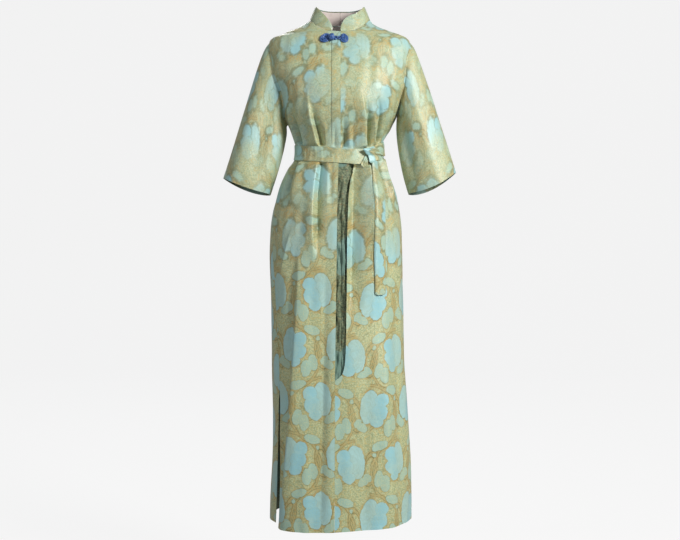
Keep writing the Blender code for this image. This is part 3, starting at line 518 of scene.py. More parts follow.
def grid_wall(
    name: str, outer: Points, normals: Points, thickness: float, uv: Points, looks: list,
    closed_round: bool = False,
) -> Piece:
    """Closed wall on a grid of outer points.

    Args:
        name: Name of the piece.
        outer: Grid of outer points; rows run down and columns run round.
        normals: Outward normals of the grid.
        thickness: Thickness of the cloth.
        uv: Grid of pattern coordinates.
        looks: Materials of the outer and inner faces.
        closed_round: Whether the last column lies on the first and joins it.

    Returns:
        The object.
    """
    uv_sheet = grid_faces(numbered(*outer.shape[:2]))
    sheet = uv_sheet
    if closed_round:
        outer, normals = outer[:, :-1], normals[:, :-1]
        sheet = grid_faces(numbered(*outer.shape[:2], closed=True))
    inner = outer - normals * thickness
    return cloth_wall(
        name, outer.reshape(-1, 3), inner.reshape(-1, 3), sheet, uv.reshape(-1, 2), uv_sheet, looks
    )


def attach(piece: Piece, node: str) -> None:
    """Joins a piece to the frame, in the place of its solid."""
    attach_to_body(piece, "root")
    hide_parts(node)
    LOG.info("%s: %d faces", piece.name, len(piece.data.polygons))


def declare(
    piece: Piece, node: str
) -> None:
    """Joins a cloth piece to the frame, in the place of its solid.

    Args:
        piece: The finished piece.
        node: The solid that it stands for.
    """
    attach(piece, node)


@dataclass(frozen=True)
class Panels:
    """Fronts, back and underlap, cut in brocade."""

    form: BodyForm
    cloth: float = 1.5
    loose_gap: float = 0.8
    top_drop: float = -0.8
    row_step: float = 3.8
    front_columns: int = 116
    back_columns: int = 130
    underlap_columns: int = 60
    underlap_width: float = 60.0
    wrinkles: Ripple = Ripple(seed=21, count=9, shortest=9.0, longest=34.0, down_stretch=1.5)
    wrinkles_from: float = 395.0
    wrinkle_fade: float = 40.0
    wrinkle_depth: float = 2.6
    wrinkle_height: float = 2.4
    groove_place: float = 2.4
    groove_width: float = 1.7
    groove_depth: float = 2.6
    groove_from: float = 470.0
    groove_fade: float = 60.0
    neck_half_width: float = 80.0
    neck_point_drop: float = -1.6
    front_neck_drop: float = 37.5
    back_neck_drop: float = 4.0
    neck_power: float = 3.0
    front_rows: Pair = (40.3, 43.1)
    back_rows: tuple[float, ...] = (8.0, 13.0, 19.0, 26.0, 33.0, 39.5)
    fly_line: float = -23.5
    fly_rise: float = 0.9
    fly_low: float = 338.0
    fly_step: float = 3.0
    fly_top_ease: float = 8.0
    end_ease: float = 12.0
    stitch_dent: float = 0.8
    dent_width: float = 1.7
    edge_rise: float = 3.0
    edge_roll: float = 3.2
    edge_shown: Pair = (376.0, 900.0)
    edge_fade: float = 150.0
    hem_depth: float = 26.0
    bodice_from: float = 955.0
    bodice_ease: float = 60.0
    # Drop, and how far each front's middle edge lies sideways: right front, left front.
    front_edge: Rows = (
        (-1.6, 1.3, 1.6), (340, 1.3, 1.6), (352, 1, 2.5), (364, -0.5, 12), (376, -2.5, 27),
        (390, -4, 37), (425, -5, 26.5), (480, -6.5, 20.5), (649, -9, 16.6), (831, -11.5, 16),
        (904, -12.5, 12.7), (930, -13, 6.8), (943, -13.2, -5), (950, -13.3, -13),
        (1337, -14, -13.7),
    )
    # Drop and the two edges of the underlap.
    underlap: Rows = (
        (42, -14, 20), (340, -14, 20), (390, -20, 46), (480, -22, 34), (830, -27, 30),
        (960, -28, 22),
    )

    def _body_rows(self) -> Points:
        """Drops of the rows below the shoulder."""
        form = self.form
        steps = int((form.hem_drop - form.tip_drop) / self.row_step)
        fixed = [form.armpit_left, form.armpit_right, form.slit_drop]
        rows = np.sort(np.concatenate([np.linspace(form.tip_drop, form.hem_drop, steps), fixed]))
        return rows[np.concatenate([[True], np.diff(rows) > 0.5])]

    def _neck_place(self, drop: Points, low: float) -> Points:
        """How far the neck edge lies from the middle line."""
        share = np.clip((low - drop) / (low - self.neck_point_drop), 0, 1)
        return self.neck_half_width * share ** (1 / self.neck_power)

    def _panel_uv(
        self, angles: Points, drops: Points, first: Points, column: int, flower: tuple, shift: tuple
    ) -> Points:
        """Pattern coordinates of a panel's grid.

        Args:
            angles: Angles of the grid.
            drops: Drops of the grid.
            first: Sideways place of one column, on each row.
            column: Number of that column.
            flower: Where one flower's middle lies, sideways and above the hem.
            shift: How far the bodice's cloth is pulled aside and up under the belt.

        Returns:
            Grid of pattern coordinates.
        """
        flat = self.form.place(angles, drops, folded=False)
        across = run_lengths(flat, axis=1)
        across = across - across[:, column : column + 1] + first[:, None]
        down = run_lengths(flat, axis=0)
        up = down[-1:] - down
        pulled = ease((up - self.bodice_from) / self.bodice_ease)
        return map_uv(across + shift[0] * pulled, up + shift[1] * pulled, flower)

    def build_front(self, side: Side, looks: list) -> Piece:
        """One front, from the middle edge round to the side seam.

        Args:
            side: Which front.
            looks: Materials of the outer and inner faces.

        Returns:
            The piece.
        """
        form, sign = self.form, side.sign
        neck_rows = np.linspace(self.top_drop, self.front_neck_drop, 15)
        rows = np.concatenate([neck_rows, self.front_rows, self._body_rows()])
        edge = column_curve(self.front_edge, side.column, rows)
        neck = sign * self._neck_place(rows, self.front_neck_drop)
        first = np.where(rows < self.front_neck_drop, neck, edge)
        start = form.angle_at(first, rows)
        end = sign * form.side_edge(rows, side, behind=False)
        end = end - sign * form.half_gap(end, rows)
        angles = spread(start, end, self.front_columns)
        column = 0
        if side is Side.RIGHT:
            angles, column = angles[:, ::-1], self.front_columns
        drops = np.broadcast_to(rows[:, None], angles.shape)
        points = form.place(angles, drops)
        normals = grid_normals(points)
        points = points + normals * self._sewn_relief(side, points, drops)[..., None]
        flower, shift = (-60.0, 345.0), (0.0, 20.0)
        if side is Side.LEFT:
            flower, shift = (28.0, 175.4), (-15.0, 25.0)
        uv = self._panel_uv(angles, drops, first, column, flower, shift)
        return grid_wall(f"front_{side.value}_cloth", points, normals, self.cloth, uv, looks)

    def _hem_groove(self, drops: Points) -> Points:
        """Depth of the groove along the hem's stitches."""
        hem_line = drops - (self.form.hem_drop - self.hem_depth)
        return HEM_GROOVE * hump(hem_line, HEM_GROOVE_WIDTH)

    def _sewn_relief(self, side: Side, points: Points, drops: Points) -> Points:
        """Height of the fly band and of the stitched hem."""
        relief = -self._hem_groove(drops)
        if side is Side.LEFT:
            at = points[..., 0] - column_curve(self.front_edge, 2, drops)
            top, low = self.edge_shown
            shown = ease((drops - top) / self.end_ease) * ease((low - drops) / self.edge_fade)
            return relief + self.edge_rise * hump(at, self.edge_roll) * shown
        at = points[..., 0] - self.fly_line
        begun = ease((drops - self.front_neck_drop) / self.fly_top_ease)
        shown = begun * ease((self.fly_low - drops) / self.end_ease)
        dent = self.stitch_dent * hump(at, self.dent_width)
        return relief + (self.fly_rise * ease(at / self.fly_step) - dent) * shown

    def build_back(self, looks: list) -> Piece:
        """The back, one piece whose halves share a column below the neck edge.

        Args:
            looks: Materials of the outer and inner faces.

        Returns:
            The piece.
        """
        form = self.form
        low = self.back_neck_drop
        rows = np.concatenate([[self.top_drop, 1.0, 2.4, low], self.back_rows, self._body_rows()])
        ends = []
        for side in (Side.LEFT, Side.RIGHT):
            edge = form.side_edge(rows, side, behind=True)
            place = self._neck_place(rows, low)
            share = np.clip(place / form.ring(side.value, rows), 0.0, form.side_most)
            deep = form.ring("back", rows) * superellipse(share, form.roundness)
            neck = np.where(rows < low, 180.0 - np.degrees(np.arctan2(place, deep)), 180.0)
            ends.append((edge + form.half_gap(edge, rows), neck))
        half = self.back_columns // 2
        left = spread(ends[0][0], ends[0][1], half)
        right = spread(360.0 - ends[1][1], 360.0 - ends[1][0], half)
        angles = np.concatenate([left, right], axis=1)
        drops = np.broadcast_to(rows[:, None], angles.shape)
        index = numbered(*angles.shape)
        right_index = index[:, half + 1 :].copy()
        shared = rows >= low
        right_index[shared, 0] = index[shared, half]
        sheet = np.concatenate([grid_faces(index[:, : half + 1]), grid_faces(right_index)])
        used, sheet = np.unique(sheet, return_inverse=True)
        sheet = sheet.reshape(-1, 4)
        points = form.place(angles, drops).reshape(-1, 3)[used]
        normals = form.normal(angles, drops).reshape(-1, 3)[used]
        points = points - normals * self._hem_groove(drops.ravel()[used])[:, None]
        inner = points - normals * self.cloth
        middle = np.zeros(len(rows))
        uv = self._panel_uv(angles, drops, middle, half, (20.0, 260.0), (0.0, 12.0))
        uv = uv.reshape(-1, 2)[used]
        return cloth_wall("back_cloth", points, inner, sheet, uv, sheet, looks)

    def build_underlap(self, looks: list) -> Piece:
        """Dark band behind the middle opening, with its own soft wrinkles; its dark colour is the
        wrong side of the brocade with painted shade of the recess in it.

        Args:
            looks: Its one material.

        Returns:
            The piece.
        """
        form = self.form
        low, high = self.underlap[-1][0], self.underlap[0][0]
        rows = np.linspace(high, low, int((low - high) / self.row_step))
        near = form.angle_at(column_curve(self.underlap, 1, rows), rows)
        far = form.angle_at(column_curve(self.underlap, 2, rows), rows)
        angles = spread(near, far, self.underlap_columns)
        drops = np.broadcast_to(rows[:, None], angles.shape)
        top, fade = self.wrinkles_from, self.wrinkle_fade
        below = ease((drops - top) / fade) * ease((low - drops) / fade)
        across = shares(self.underlap_columns)[None, :] * self.underlap_width
        wave = self.wrinkle_height * self.wrinkles.height(across, drops)
        dip = below * np.maximum(self.wrinkle_depth + wave, 0.0)
        groove = hump(form.place(angles, drops)[..., 0] - self.groove_place, self.groove_width)
        begun = ease((drops - self.groove_from) / self.groove_fade)
        dip = dip + self.groove_depth * groove * begun
        points, _ = form.lifted(angles, drops, -(self.cloth + self.loose_gap + dip))
        first = column_curve(self.underlap, 1, rows)
        uv = self._panel_uv(angles, drops, first, 0, (9.0, 50.0), (0.0, 0.0))
        return grid_wall("underlap_cloth", points, grid_normals(points), self.cloth, uv, looks)

    def build_all(self, brocade: list, underlap: list) -> None:
        """All the panels, declared in the places of their solids."""
        right = self.build_front(Side.RIGHT, brocade)
        declare(right, "front_right")
        left = self.build_front(Side.LEFT, brocade)
        declare(left, "front_left")
        declare(self.build_back(brocade), "back")
        under = self.build_underlap(underlap)
        declare(under, "front_underlap")


@dataclass(frozen=True)
class SleeveCut:
    """What differs between the two sleeves.

    The cuff's outer and inner ends are given sideways and down; a fold by its turns at the cap
    and at the cuff (in half turns), its begin and end along the sleeve, half width and height.
    """

    side: Side
    outer: Pair
    inner: Pair
    under_lean: float
    bow: float
    seed: int
    folds: Rows
    flower: Pair


RIGHT_SLEEVE = SleeveCut(
    side=Side.RIGHT, outer=(312.4, 420.7), inner=(186.3, 464.4), under_lean=10.0, bow=7.5,
    seed=10,
    folds=(
        (0.5, 0.54, 0.08, 0.97, 18, -8), (0.8, 0.8, 0.1, 0.95, 12, 5),
        (0.28, 0.32, 0.25, 1, 18, 4), (1.35, 1.3, 0.15, 0.9, 16, -5),
    ),
    flower=(86.0, 120.0),
)
LEFT_SLEEVE = SleeveCut(
    side=Side.LEFT, outer=(311.3, 405.0), inner=(184.7, 462.5), under_lean=-34.0, bow=13.0,
    seed=9,
    folds=(
        (0.76, 0.72, 0.08, 0.97, 17, -9), (0.45, 0.42, 0.15, 1, 15, 4),
        (1.35, 1.3, 0.15, 0.9, 16, -5),
    ),
    flower=(55.0, 121.0),
)


@dataclass(frozen=True)
class Sleeve:
    """A three-quarter sleeve, flaring to the cuff."""

    form: BodyForm
    cut: SleeveCut
    cloth: float = 1.5
    columns: int = 132
    rows: int = 116
    cuff_depth: float = 112.0
    cuff_forward: float = 10.0
    cuff_back_dip: float = 9.0
    cap_lean: float = 80.0
    cap_fall: float = 60.0
    cap_front_pull: float = 12.0
    under_fall: float = 150.0
    pull_top: Pair = (120.0, 375.0)
    pull_under: Pair = (60.0, 180.0)
    arm_size: Pair = (30.0, 40.0)
    ripple_height: float = 0.8
    hem_depth: float = 24.0
    seam_dip: float = 2.6
    seam_width: float = 6.0

    def _armhole(self) -> tuple[Points, Points, Points]:
        """Turn round the arm, body angle and drop of the points round the armhole."""
        form = self.form
        low = form.armpit(self.cut.side)
        turns = np.linspace(0.0, TURN, self.columns + 1)
        drops = form.tip_drop + (low - form.tip_drop) * (1 - np.cos(turns)) / 2
        front = form.side_edge(drops, self.cut.side, behind=False)
        back = form.side_edge(drops, self.cut.side, behind=True)
        angles = np.where(np.sin(turns) >= 0, front, back)
        return turns, self.cut.side.sign * angles, drops

    def _lift(self, turns: Points, along: Points) -> Points:
        """Height of the sleeve's folds."""
        lift = np.zeros((len(along), len(turns)))
        for cap_turn, cuff_turn, begin, end, half_width, height in self.cut.folds:
            middle = (cap_turn + (cuff_turn - cap_turn) * along[:, None]) * math.pi
            away = (turns - middle + math.pi) % TURN - math.pi
            across = away * self.cuff_depth / 2
            run = (along[:, None] - begin) / (end - begin)
            fade = self.form.fold_fade
            shown = ease(run / fade) * (ease((1 - run) / fade) if end < 1.0 else 1.0)
            lift = lift + height * shown * hump(across, half_width)
        return lift

    def _form_points(self, along: Points) -> tuple[Points, Points, Points]:
        """The sleeve's form without its folds.

        Args:
            along: Shares of the way from the armhole to the cuff.

        Returns:
            Points, turns round the arm, and the armhole's normals.
        """
        form, sign = self.form, self.cut.side.sign
        turns, angles, drops = self._armhole()
        start = form.place(angles, drops)
        start_normal = form.normal(angles, drops)
        middle_drop = (form.tip_drop + form.armpit(self.cut.side)) / 2
        into_hole = form.place(sign * 90.0, middle_drop) - start
        into_hole -= start_normal * np.sum(into_hole * start_normal, axis=-1, keepdims=True)
        start = start + unit(into_hole) * form.seam_gap
        outer, inner, top, under = (
            np.array([sign * sideways, 0.0, -down])
            for sideways, down in (self.cut.outer, self.cut.inner, self.pull_top, self.pull_under)
        )
        centre = (outer + inner) / 2 + np.array([0.0, -self.cuff_forward, 0.0])
        front = np.array([0.0, -self.cuff_depth / 2, self.cuff_back_dip / 2])
        high, fore = np.cos(turns)[:, None], np.sin(turns)[:, None]
        bow = np.array([0.0, 0.0, -self.cut.bow])
        end = centre + high * (outer - inner) / 2 + fore * front + fore**2 * bow
        lean, fall = (
            (cap + below) / 2 + (cap - below) / 2 * high
            for cap, below in (
                (self.cap_lean, self.cut.under_lean), (self.cap_fall, self.under_fall)
            )
        )
        start_pull = np.concatenate([sign * lean, -self.cap_front_pull * fore, -fall], axis=1)
        end_pull = (top + under) / 2 + (top - under) / 2 * high
        s = along[:, None, None]
        points = (
            start * (2 * s**3 - 3 * s**2 + 1)
            + start_pull * (s**3 - 2 * s**2 + s)
            + end * (3 * s**2 - 2 * s**3)
            + end_pull * (s**3 - s**2)
        )
        return points, turns, start_normal

    def build(self, looks: list) -> None:
        """The sleeve as a closed wall, open at the armhole and the cuff.

        Args:
            looks: Materials of the outer and inner faces.
        """
        along = shares(self.rows)
        points, turns, start_normal = self._form_points(along)
        down = run_lengths(points, axis=0)
        uv = map_uv(run_lengths(points, axis=1), down[-1:] - down, self.cut.flower)
        if self.cut.side is Side.LEFT:
            points, turns, start_normal = points[:, ::-1], turns[::-1], start_normal[::-1]
            uv = uv[:, ::-1]
        normals = self._normals(points, start_normal)
        hem = HEM_GROOVE * hump(down[-1:] - down - self.hem_depth, HEM_GROOVE_WIDTH)
        round_arm = self.arm_size[0] * np.sin(turns) + self.arm_size[1] * np.cos(turns)
        faint = Ripple(seed=self.cut.seed).height(round_arm, down)
        faint = self.ripple_height * faint * ease(along * 6)[:, None]
        lift = self._lift(turns, along) + faint
        from_seam = down / self.seam_width
        lift = lift - self.seam_dip * from_seam * np.exp(1 - from_seam)
        points = points + normals * (lift - hem)[..., None]
        normals = self._normals(points, start_normal)
        node = f"sleeve_{self.cut.side.value}"
        name = node + "_cloth"
        piece = grid_wall(name, points, normals, self.cloth, uv, looks, closed_round=True)
        declare(piece, node)

    def _normals(self, points: Points, start_normal: Points) -> Points:
        """Outward normals whose first row is the armhole's."""
        normals = grid_normals(points[:, :-1], closed_round=True)
        normals = np.concatenate([normals, normals[:, :1]], axis=1)
        normals[0] = start_normal
        return normals


@dataclass(frozen=True)
class Collar:
    """Stand collar with rounded open ends, its lining and the lining below the back neck."""

    form: BodyForm
    panels: Panels
    height_front: float = 44.0
    height_side: float = 34.5
    height_back: float = 37.0
    lean: Pair = (0.82, 0.86)
    right_end: Pair = (16.0, 60.0)
    left_end: Pair = (1.0, 34.0)
    end_power: float = 2.2
    end_least: float = 0.07
    side_power: float = 1.5
    cloth: float = 1.4
    lining: float = 1.0
    seam_gap: float = 0.6
    columns: int = 190
    crowding: float = 0.55
    rows: int = 20
    edge_roll: float = 0.5
    lining_span: float = 56.0
    lining_rows: Pair = (6.0, 74.0)
    lining_free: float = 44.0
    lining_ease: float = 26.0
    lining_narrow: float = 0.96
    lining_flare: float = 0.004
    lining_share: float = 0.93

    def _neck_ring(self, degrees: Points) -> Points:
        """Neck edge of the panels, at angles round the neck."""
        form, panels = self.form, self.panels
        turn = np.radians(degrees)
        place = panels.neck_half_width * np.sin(turn)
        front = np.cos(turn) > 0
        low = np.where(front, panels.front_neck_drop, panels.back_neck_drop)
        rise = (low - panels.neck_point_drop) * np.abs(np.sin(turn)) ** panels.neck_power
        drop = low - rise
        share = np.clip(np.abs(place) / form.ring_wide(np.sin(turn) < 0, drop), 0, 1)
        reach = form.ring_deep(front, drop) * superellipse(share, form.roundness)
        return np.stack([place, np.where(front, -reach, reach), -drop], axis=-1)

    def _surface(self, degrees: Points, share: Points) -> Points:
        """Points of the stand, from its seam (share 0) to its top edge (share 1)."""
        turn = np.radians(degrees)
        base = self._neck_ring(degrees) + np.array([0.0, 0.0, self.seam_gap])
        middle = np.where(np.cos(turn) < 0, self.height_back, self.height_front)
        height = middle + (self.height_side - middle) * np.abs(np.sin(turn)) ** self.side_power
        on_right = turned(degrees) < 0
        begin, whole = (np.where(on_right, *ends) for ends in zip(self.right_end, self.left_end))
        run = np.clip((np.abs(turned(degrees)) - begin) / (whole - begin), 0, 1)
        cut = np.maximum(superellipse(1 - run, self.end_power), self.end_least)
        top = base * np.array([*self.lean, 1.0])
        top[..., 2] += height
        return base + (top - base) * (share * cut)[..., None]

    def build(self, brocade: list, lining: list) -> None:
        """Collar, collar lining and neck lining.

        Args:
            brocade: Materials of the collar's outer and inner faces.
            lining: Material of the linings.
        """
        start, end = self.left_end[0], 360.0 - self.right_end[0]
        even = shares(self.columns)
        closer = 0.5 - 0.5 * np.cos(math.pi * even)
        angles = start + (end - start) * ((1 - self.crowding) * even + self.crowding * closer)
        angles, share = np.meshgrid(angles, shares(self.rows)[::-1])
        points = self._surface(angles, share)
        around = self._surface(angles + 0.5, share) - self._surface(angles - 0.5, share)
        level = around * np.array([1.0, 1.0, 0.0])
        normals = unit(np.cross(np.array([0.0, 0.0, -1.0]), level))
        padded = self.edge_roll * np.sin(math.pi * np.clip(share, 0, 1)) ** 0.5
        outer = points + normals * padded[..., None]
        length = run_lengths(points, axis=1)
        uv = map_uv(length, share * self.height_side, (40.0, 60.0))
        collar = grid_wall("collar_cloth", outer, normals, self.cloth + self.edge_roll, uv, brocade)
        declare(collar, "collar")
        low = self._surface(angles, share * self.lining_share)
        inside = low - normals * (self.cloth + self.form.seam_gap)
        inner = grid_wall("collar_lining_cloth", inside, normals, self.lining, uv, lining)
        declare(inner, "collar_lining")
        self._build_neck_lining(lining)

    def _build_neck_lining(self, lining: list) -> None:
        """Lining of the back, just below the neck, with its middle seam."""
        form = self.form
        angles = np.linspace(180.0 - self.lining_span, 180.0 + self.lining_span, 121)
        drops = np.linspace(self.lining_rows[0], self.lining_rows[1], 36)
        angles, drops = np.meshgrid(angles, drops)
        points, _ = form.lifted(angles, drops, -(self.panels.cloth + self.panels.loose_gap))
        hung = self._neck_ring(angles) * self.lining_narrow
        hung = hung * (1 + self.lining_flare * (drops - self.lining_rows[0]))[..., None]
        hung[..., 2] = -drops
        free = ease((self.lining_free - drops) / self.lining_ease)[..., None]
        points = points + (hung - points) * free
        normals = -unit(np.cross(np.gradient(points, axis=1), np.gradient(points, axis=0)))
        if np.sum(normals[..., 1]) < 0:
            normals = -normals
        uv = np.stack([run_lengths(points, axis=1), drops], axis=-1) * MM
        piece = grid_wall("neck_lining_cloth", points, normals, self.lining, uv, lining)
        declare(piece, "neck_lining")


def rail_points(rails: Points, count: int, steps: int) -> tuple[Points, Points]:
    """Smooth sideways places and drops of a strip laid between two rails.

    Args:
        rails: One row for each station: sideways place and drop of the near and of the far rail.
        count: Rows of the finished grid.
        steps: Steps between the rails.

    Returns:
        Grids of sideways places and of drops.
    """
    rails = np.array(rails, float)
    stations, at = shares(len(rails) - 1), shares(count - 1)
    near_x, near_drop, far_x, far_drop = (smooth_through(stations, rail, at) for rail in rails.T)
    return spread(near_x, far_x, steps), spread(near_drop, far_drop, steps)


@dataclass(frozen=True)
class Belt:
    """Belt of doubled brocade, its knot and its two hanging ends."""

    form: BodyForm
    cloth: float = 1.6
    loose_gap: float = 0.8
    height: float = 40.0
    columns: int = 380
    rows: int = 18
    puff: float = 0.9
    wrinkle: float = 0.5
    wrinkles: Ripple = Ripple(seed=33, count=10, shortest=11.0, longest=60.0, down_stretch=1.6)
    waist_size: Pair = (100.0, 260.0)
    deepest: float = -0.5
    edge_power: float = 6.0
    end_rows: int = 150
    end_columns: int = 22
    end_corner: float = 5.0
    end_width: float = 33.0
    end_evening: int = 19
    end_wave: float = 0.45
    end_puff: float = 0.54
    end_deepest: float = -0.4
    curl: float = 0.9
    curl_length: float = 170.0
    top_rise: float = 2.4
    top_run: float = 16.0
    edge_drop: float = 3.0
    edge_curl: float = 0.8
    curl_place: float = 0.07
    knot_rows: int = 90
    knot_columns: int = 30
    knot_lift: tuple[float, ...] = (4.8, 6.0, 7.6, 10.0, 13.0, 16.0, 14.0, 12.0, 10.6)
    knot_swell: float = 2.6
    tuck_lift: tuple[float, ...] = (5.6, 5.8, 5.8, 5.2, 4.6)
    tuck_swell: float = 0.5
    # Drop and the two edges of each hanging end.
    over_end: Rows = (
        (377, 72.5, 98.5), (389.5, 74.5, 101.5), (412, 77, 106), (445, 79, 113), (496, 84, 116),
        (607, 84.5, 117.5), (700, 87.5, 118.5), (727, 88, 118.5),
    )
    under_end: Rows = ((389.5, 78, 102), (500, 92, 112), (640, 94, 112))
    # Sideways place and drop of the upper left and of the lower right edge of the knot's wrap.
    knot_rails: Rows = (
        (112, 326, 116, 362), (104.6, 327.8, 111.7, 362.9), (94.8, 329.9, 107.1, 363.8),
        (81.4, 338.5, 103.1, 364.5), (66.8, 344.3, 100.3, 365), (54.4, 348.3, 98.4, 365.7),
        (60.7, 357, 97.8, 367), (69, 368.3, 98.2, 371), (73, 384, 99, 377),
    )
    tuck_rails: Rows = (
        (66, 362, 71.5, 364), (59, 376, 71.5, 377), (53, 388, 71, 388), (60, 397, 72.5, 395),
        (69, 404, 74, 401),
    )

    def _edge(self, share: Points) -> Points:
        """1 in the middle of the strip, falling to 0 over its rounded edges."""
        return 1.0 - np.abs(2 * share - 1) ** self.edge_power

    def _strip_uv(self, points: Points, origin: Pair) -> Points:
        """Pattern coordinates of a strip cut along the cloth's length."""
        return map_uv(run_lengths(points, axis=1), run_lengths(points, axis=0), origin)

    def build_round(self, looks: list) -> None:
        """The belt round the waist.

        Args:
            looks: Its one material.
        """
        form = self.form
        angles = np.linspace(-180.0, 180.0, self.columns + 1)
        angles, share = np.meshgrid(angles, shares(self.rows))
        drops = form.belt_drop(angles) + (share - 0.5) * self.height
        along = run_lengths(form.place(angles, drops), axis=1)
        down = share * self.height
        angle = np.radians(angles)
        round_waist = self.waist_size[0] * np.sin(angle) + self.waist_size[1] * np.cos(angle)
        wave = self.wrinkle * self.wrinkles.height(round_waist, down) * self._edge(share)
        lift = self.loose_gap + self.cloth + self.puff * self._edge(share)
        points, normals = form.lifted(angles, drops, lift + np.maximum(wave, self.deepest))
        uv = map_uv(down, along, (30.0, 190.0))
        piece = grid_wall("belt_cloth", points, normals, self.cloth, uv, looks, closed_round=True)
        declare(piece, "belt")

    def _bridge(self, relief: Points, share: Points) -> Points:
        """Height of a strip laid over folds from one of its edges to the other."""
        bridge = relief[:, :1] + (relief[:, -1:] - relief[:, :1]) * share
        above = np.maximum(relief - bridge, 0.0).max(axis=1, keepdims=True)
        bridge = bridge + above * ease(share * 4)
        reach = self.end_evening // 2
        window = np.hanning(self.end_evening)
        padded = (np.pad(column, reach, mode="edge") for column in bridge.T)
        even = [np.convolve(column, window / window.sum(), mode="valid") for column in padded]
        return np.maximum(np.stack(even, axis=1), bridge)

    def _build_end(self, node: str, edges: Rows, layers: int, looks: list) -> None:
        """One hanging end, bridging the folds below it.

        Args:
            node: Solid it stands for.
            edges: Drop and the two edges.
            layers: How many layers deep it lies.
            looks: Materials.
        """
        form = self.form
        rows = np.linspace(edges[0][0], edges[-1][0], self.end_rows + 1)
        near = column_curve(edges, 1, rows)
        far = column_curve(edges, 2, rows)
        to_end = rows[-1] - rows
        corner = np.clip(1 - to_end / self.end_corner, 0, 1)
        inset = self.end_corner * (1 - np.sqrt(1 - corner**2))
        start, end = form.angle_at(near + inset, rows), form.angle_at(far - inset, rows)
        angles = spread(start, end, self.end_columns)
        drops = np.broadcast_to(rows[:, None], angles.shape)
        share = shares(self.end_columns)[None, :]
        relief = form.relief(angles, drops, form.radius(np.radians(angles), drops))
        edge = self._edge(share)
        ripple = Ripple(seed=50 + layers, count=8, shortest=26.0, longest=110.0)
        wave = self.end_wave * ripple.height(share * self.end_width, drops) * edge
        sway = np.sin(math.pi * (drops - rows[0]) / self.curl_length)
        curl = self.curl * sway * (2 * share - 1)
        lift = layers * (self.loose_gap + self.cloth) + self._bridge(relief, share)
        lift = lift - self.edge_drop * (layers - 1) * (1 - edge)
        curled = hump(share - self.curl_place, self.curl_place)
        lift = lift + self.edge_curl * (layers - 1) * curled
        lift = lift + self.top_rise * hump(drops - rows[0], self.top_run)
        lift = lift + self.end_puff * edge + np.maximum(wave + curl, self.end_deepest)
        points, _ = form.lifted(angles, drops, lift, folded=False)
        uv = self._strip_uv(points, (60.0, 420.0) if layers > 1 else (10.0, 300.0))
        piece = grid_wall(node + "_cloth", points, grid_normals(points), self.cloth, uv, looks)
        declare(piece, node)

    def _build_wrap(
        self, name: str, rails: Rows, lifts: tuple[float, ...], swell: float, looks: list
    ) -> Piece:
        """Strip that winds round the knot.

        Args:
            name: Name of the piece.
            rails: Places of its two edges at each station.
            lifts: Lift over the body form at each station.
            swell: How far its middle stands over its edges.
            looks: Materials.

        Returns:
            The piece.
        """
        form = self.form
        sideways, drops = rail_points(rails, self.knot_rows, self.knot_columns)
        along = shares(self.knot_rows - 1)[:, None]
        lift = smooth_through(shares(len(lifts) - 1), np.array(lifts), along)
        share = shares(self.knot_columns)[None, :]
        arch, edge = np.sin(math.pi * along), self._edge(share)
        pleat = 0.9 * np.sin(TURN * (2.3 * share + 0.35 * along)) * arch * edge
        lift = lift + swell * edge * (0.4 + 0.6 * arch) + pleat
        angles = form.angle_at(sideways, drops)
        points, normals = form.lifted(angles, drops, lift, folded=False)
        uv = self._strip_uv(points, (48.0, 250.0))
        facing = grid_normals(points)
        if np.sum(facing * normals) < 0:
            facing, points, uv = -facing[:, ::-1], points[:, ::-1], uv[:, ::-1]
        return grid_wall(name, points, facing, self.cloth, uv, looks)

    def build_all(self, looks: list) -> None:
        """Belt, knot and ends."""
        self.build_round(looks)
        self._build_end("belt_end_over", self.over_end, 2, looks)
        self._build_end("belt_end_under", self.under_end, 1, looks)
        wrap = self._build_wrap
        tuck = wrap("belt_tuck", self.tuck_rails, self.tuck_lift, self.tuck_swell, looks)
        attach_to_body(tuck, "root")
        knot = wrap("belt_knot_cloth", self.knot_rails, self.knot_lift, self.knot_swell, looks)
        attach(knot, "belt_knot")


@dataclass(frozen=True)
class Tube:
    """Round cord along a line."""

    radius: float
    sides: int = 12
    closed: bool = False

    def mesh(self, line: Points, up: Points) -> tuple[Points, list, Points]:
        """Points, faces and pattern coordinates of the cord.

        Args:
            line: Points of its middle line.
            up: Direction away from the cloth at each of them.

        Returns:
            Points, faces and one pattern coordinate for each corner.
        """
        if self.closed:
            tangent = unit(np.roll(line, -1, axis=0) - np.roll(line, 1, axis=0))
        else:
            tangent = unit(np.gradient(line, axis=0))
        aside = unit(np.cross(tangent, up))
        over = unit(np.cross(aside, tangent))
        size = np.full(len(line), self.radius)
        if not self.closed:
            run = run_lengths(line[:, None], axis=0)[:, 0]
            to_end = np.minimum(run, run[-1] - run)
            near = np.clip(1 - to_end / self.radius, 0.0, 0.97)
            size = size * np.sqrt(1 - near**2)
        turn, size = round_turn(self.sides)[None, :, None], size[:, None, None]
        across = size * np.cos(turn) * aside[:, None]
        points = line[:, None] + across + size * np.sin(turn) * over[:, None]
        index = numbered(len(line), self.sides, closed=True)
        if self.closed:
            index = np.concatenate([index, index[:1]], axis=0)
        faces = grid_faces(index)
        rows, columns = index.shape
        step = np.linalg.norm(np.diff(np.concatenate([line, line[:1]]), axis=0), axis=-1)
        along = np.concatenate([[0.0], np.cumsum(step)])[:rows]
        uv = np.stack(np.broadcast_arrays(along[:, None], np.arange(columns)[None, :] * 1.0), -1)
        uv = uv.reshape(-1, 2)[grid_faces(numbered(rows, columns))] * MM
        face_list, corners = faces[:, ::-1].tolist(), uv[:, ::-1].reshape(-1, 2)
        if not self.closed:
            face_list += [index[0, :-1].tolist(), index[-1, -2::-1].tolist()]
            caps = np.repeat(np.array([[0.0, 0.0], [along[-1] * MM, 0.0]]), self.sides, axis=0)
            corners = np.concatenate([corners, caps])
        return points.reshape(-1, 3), face_list, corners


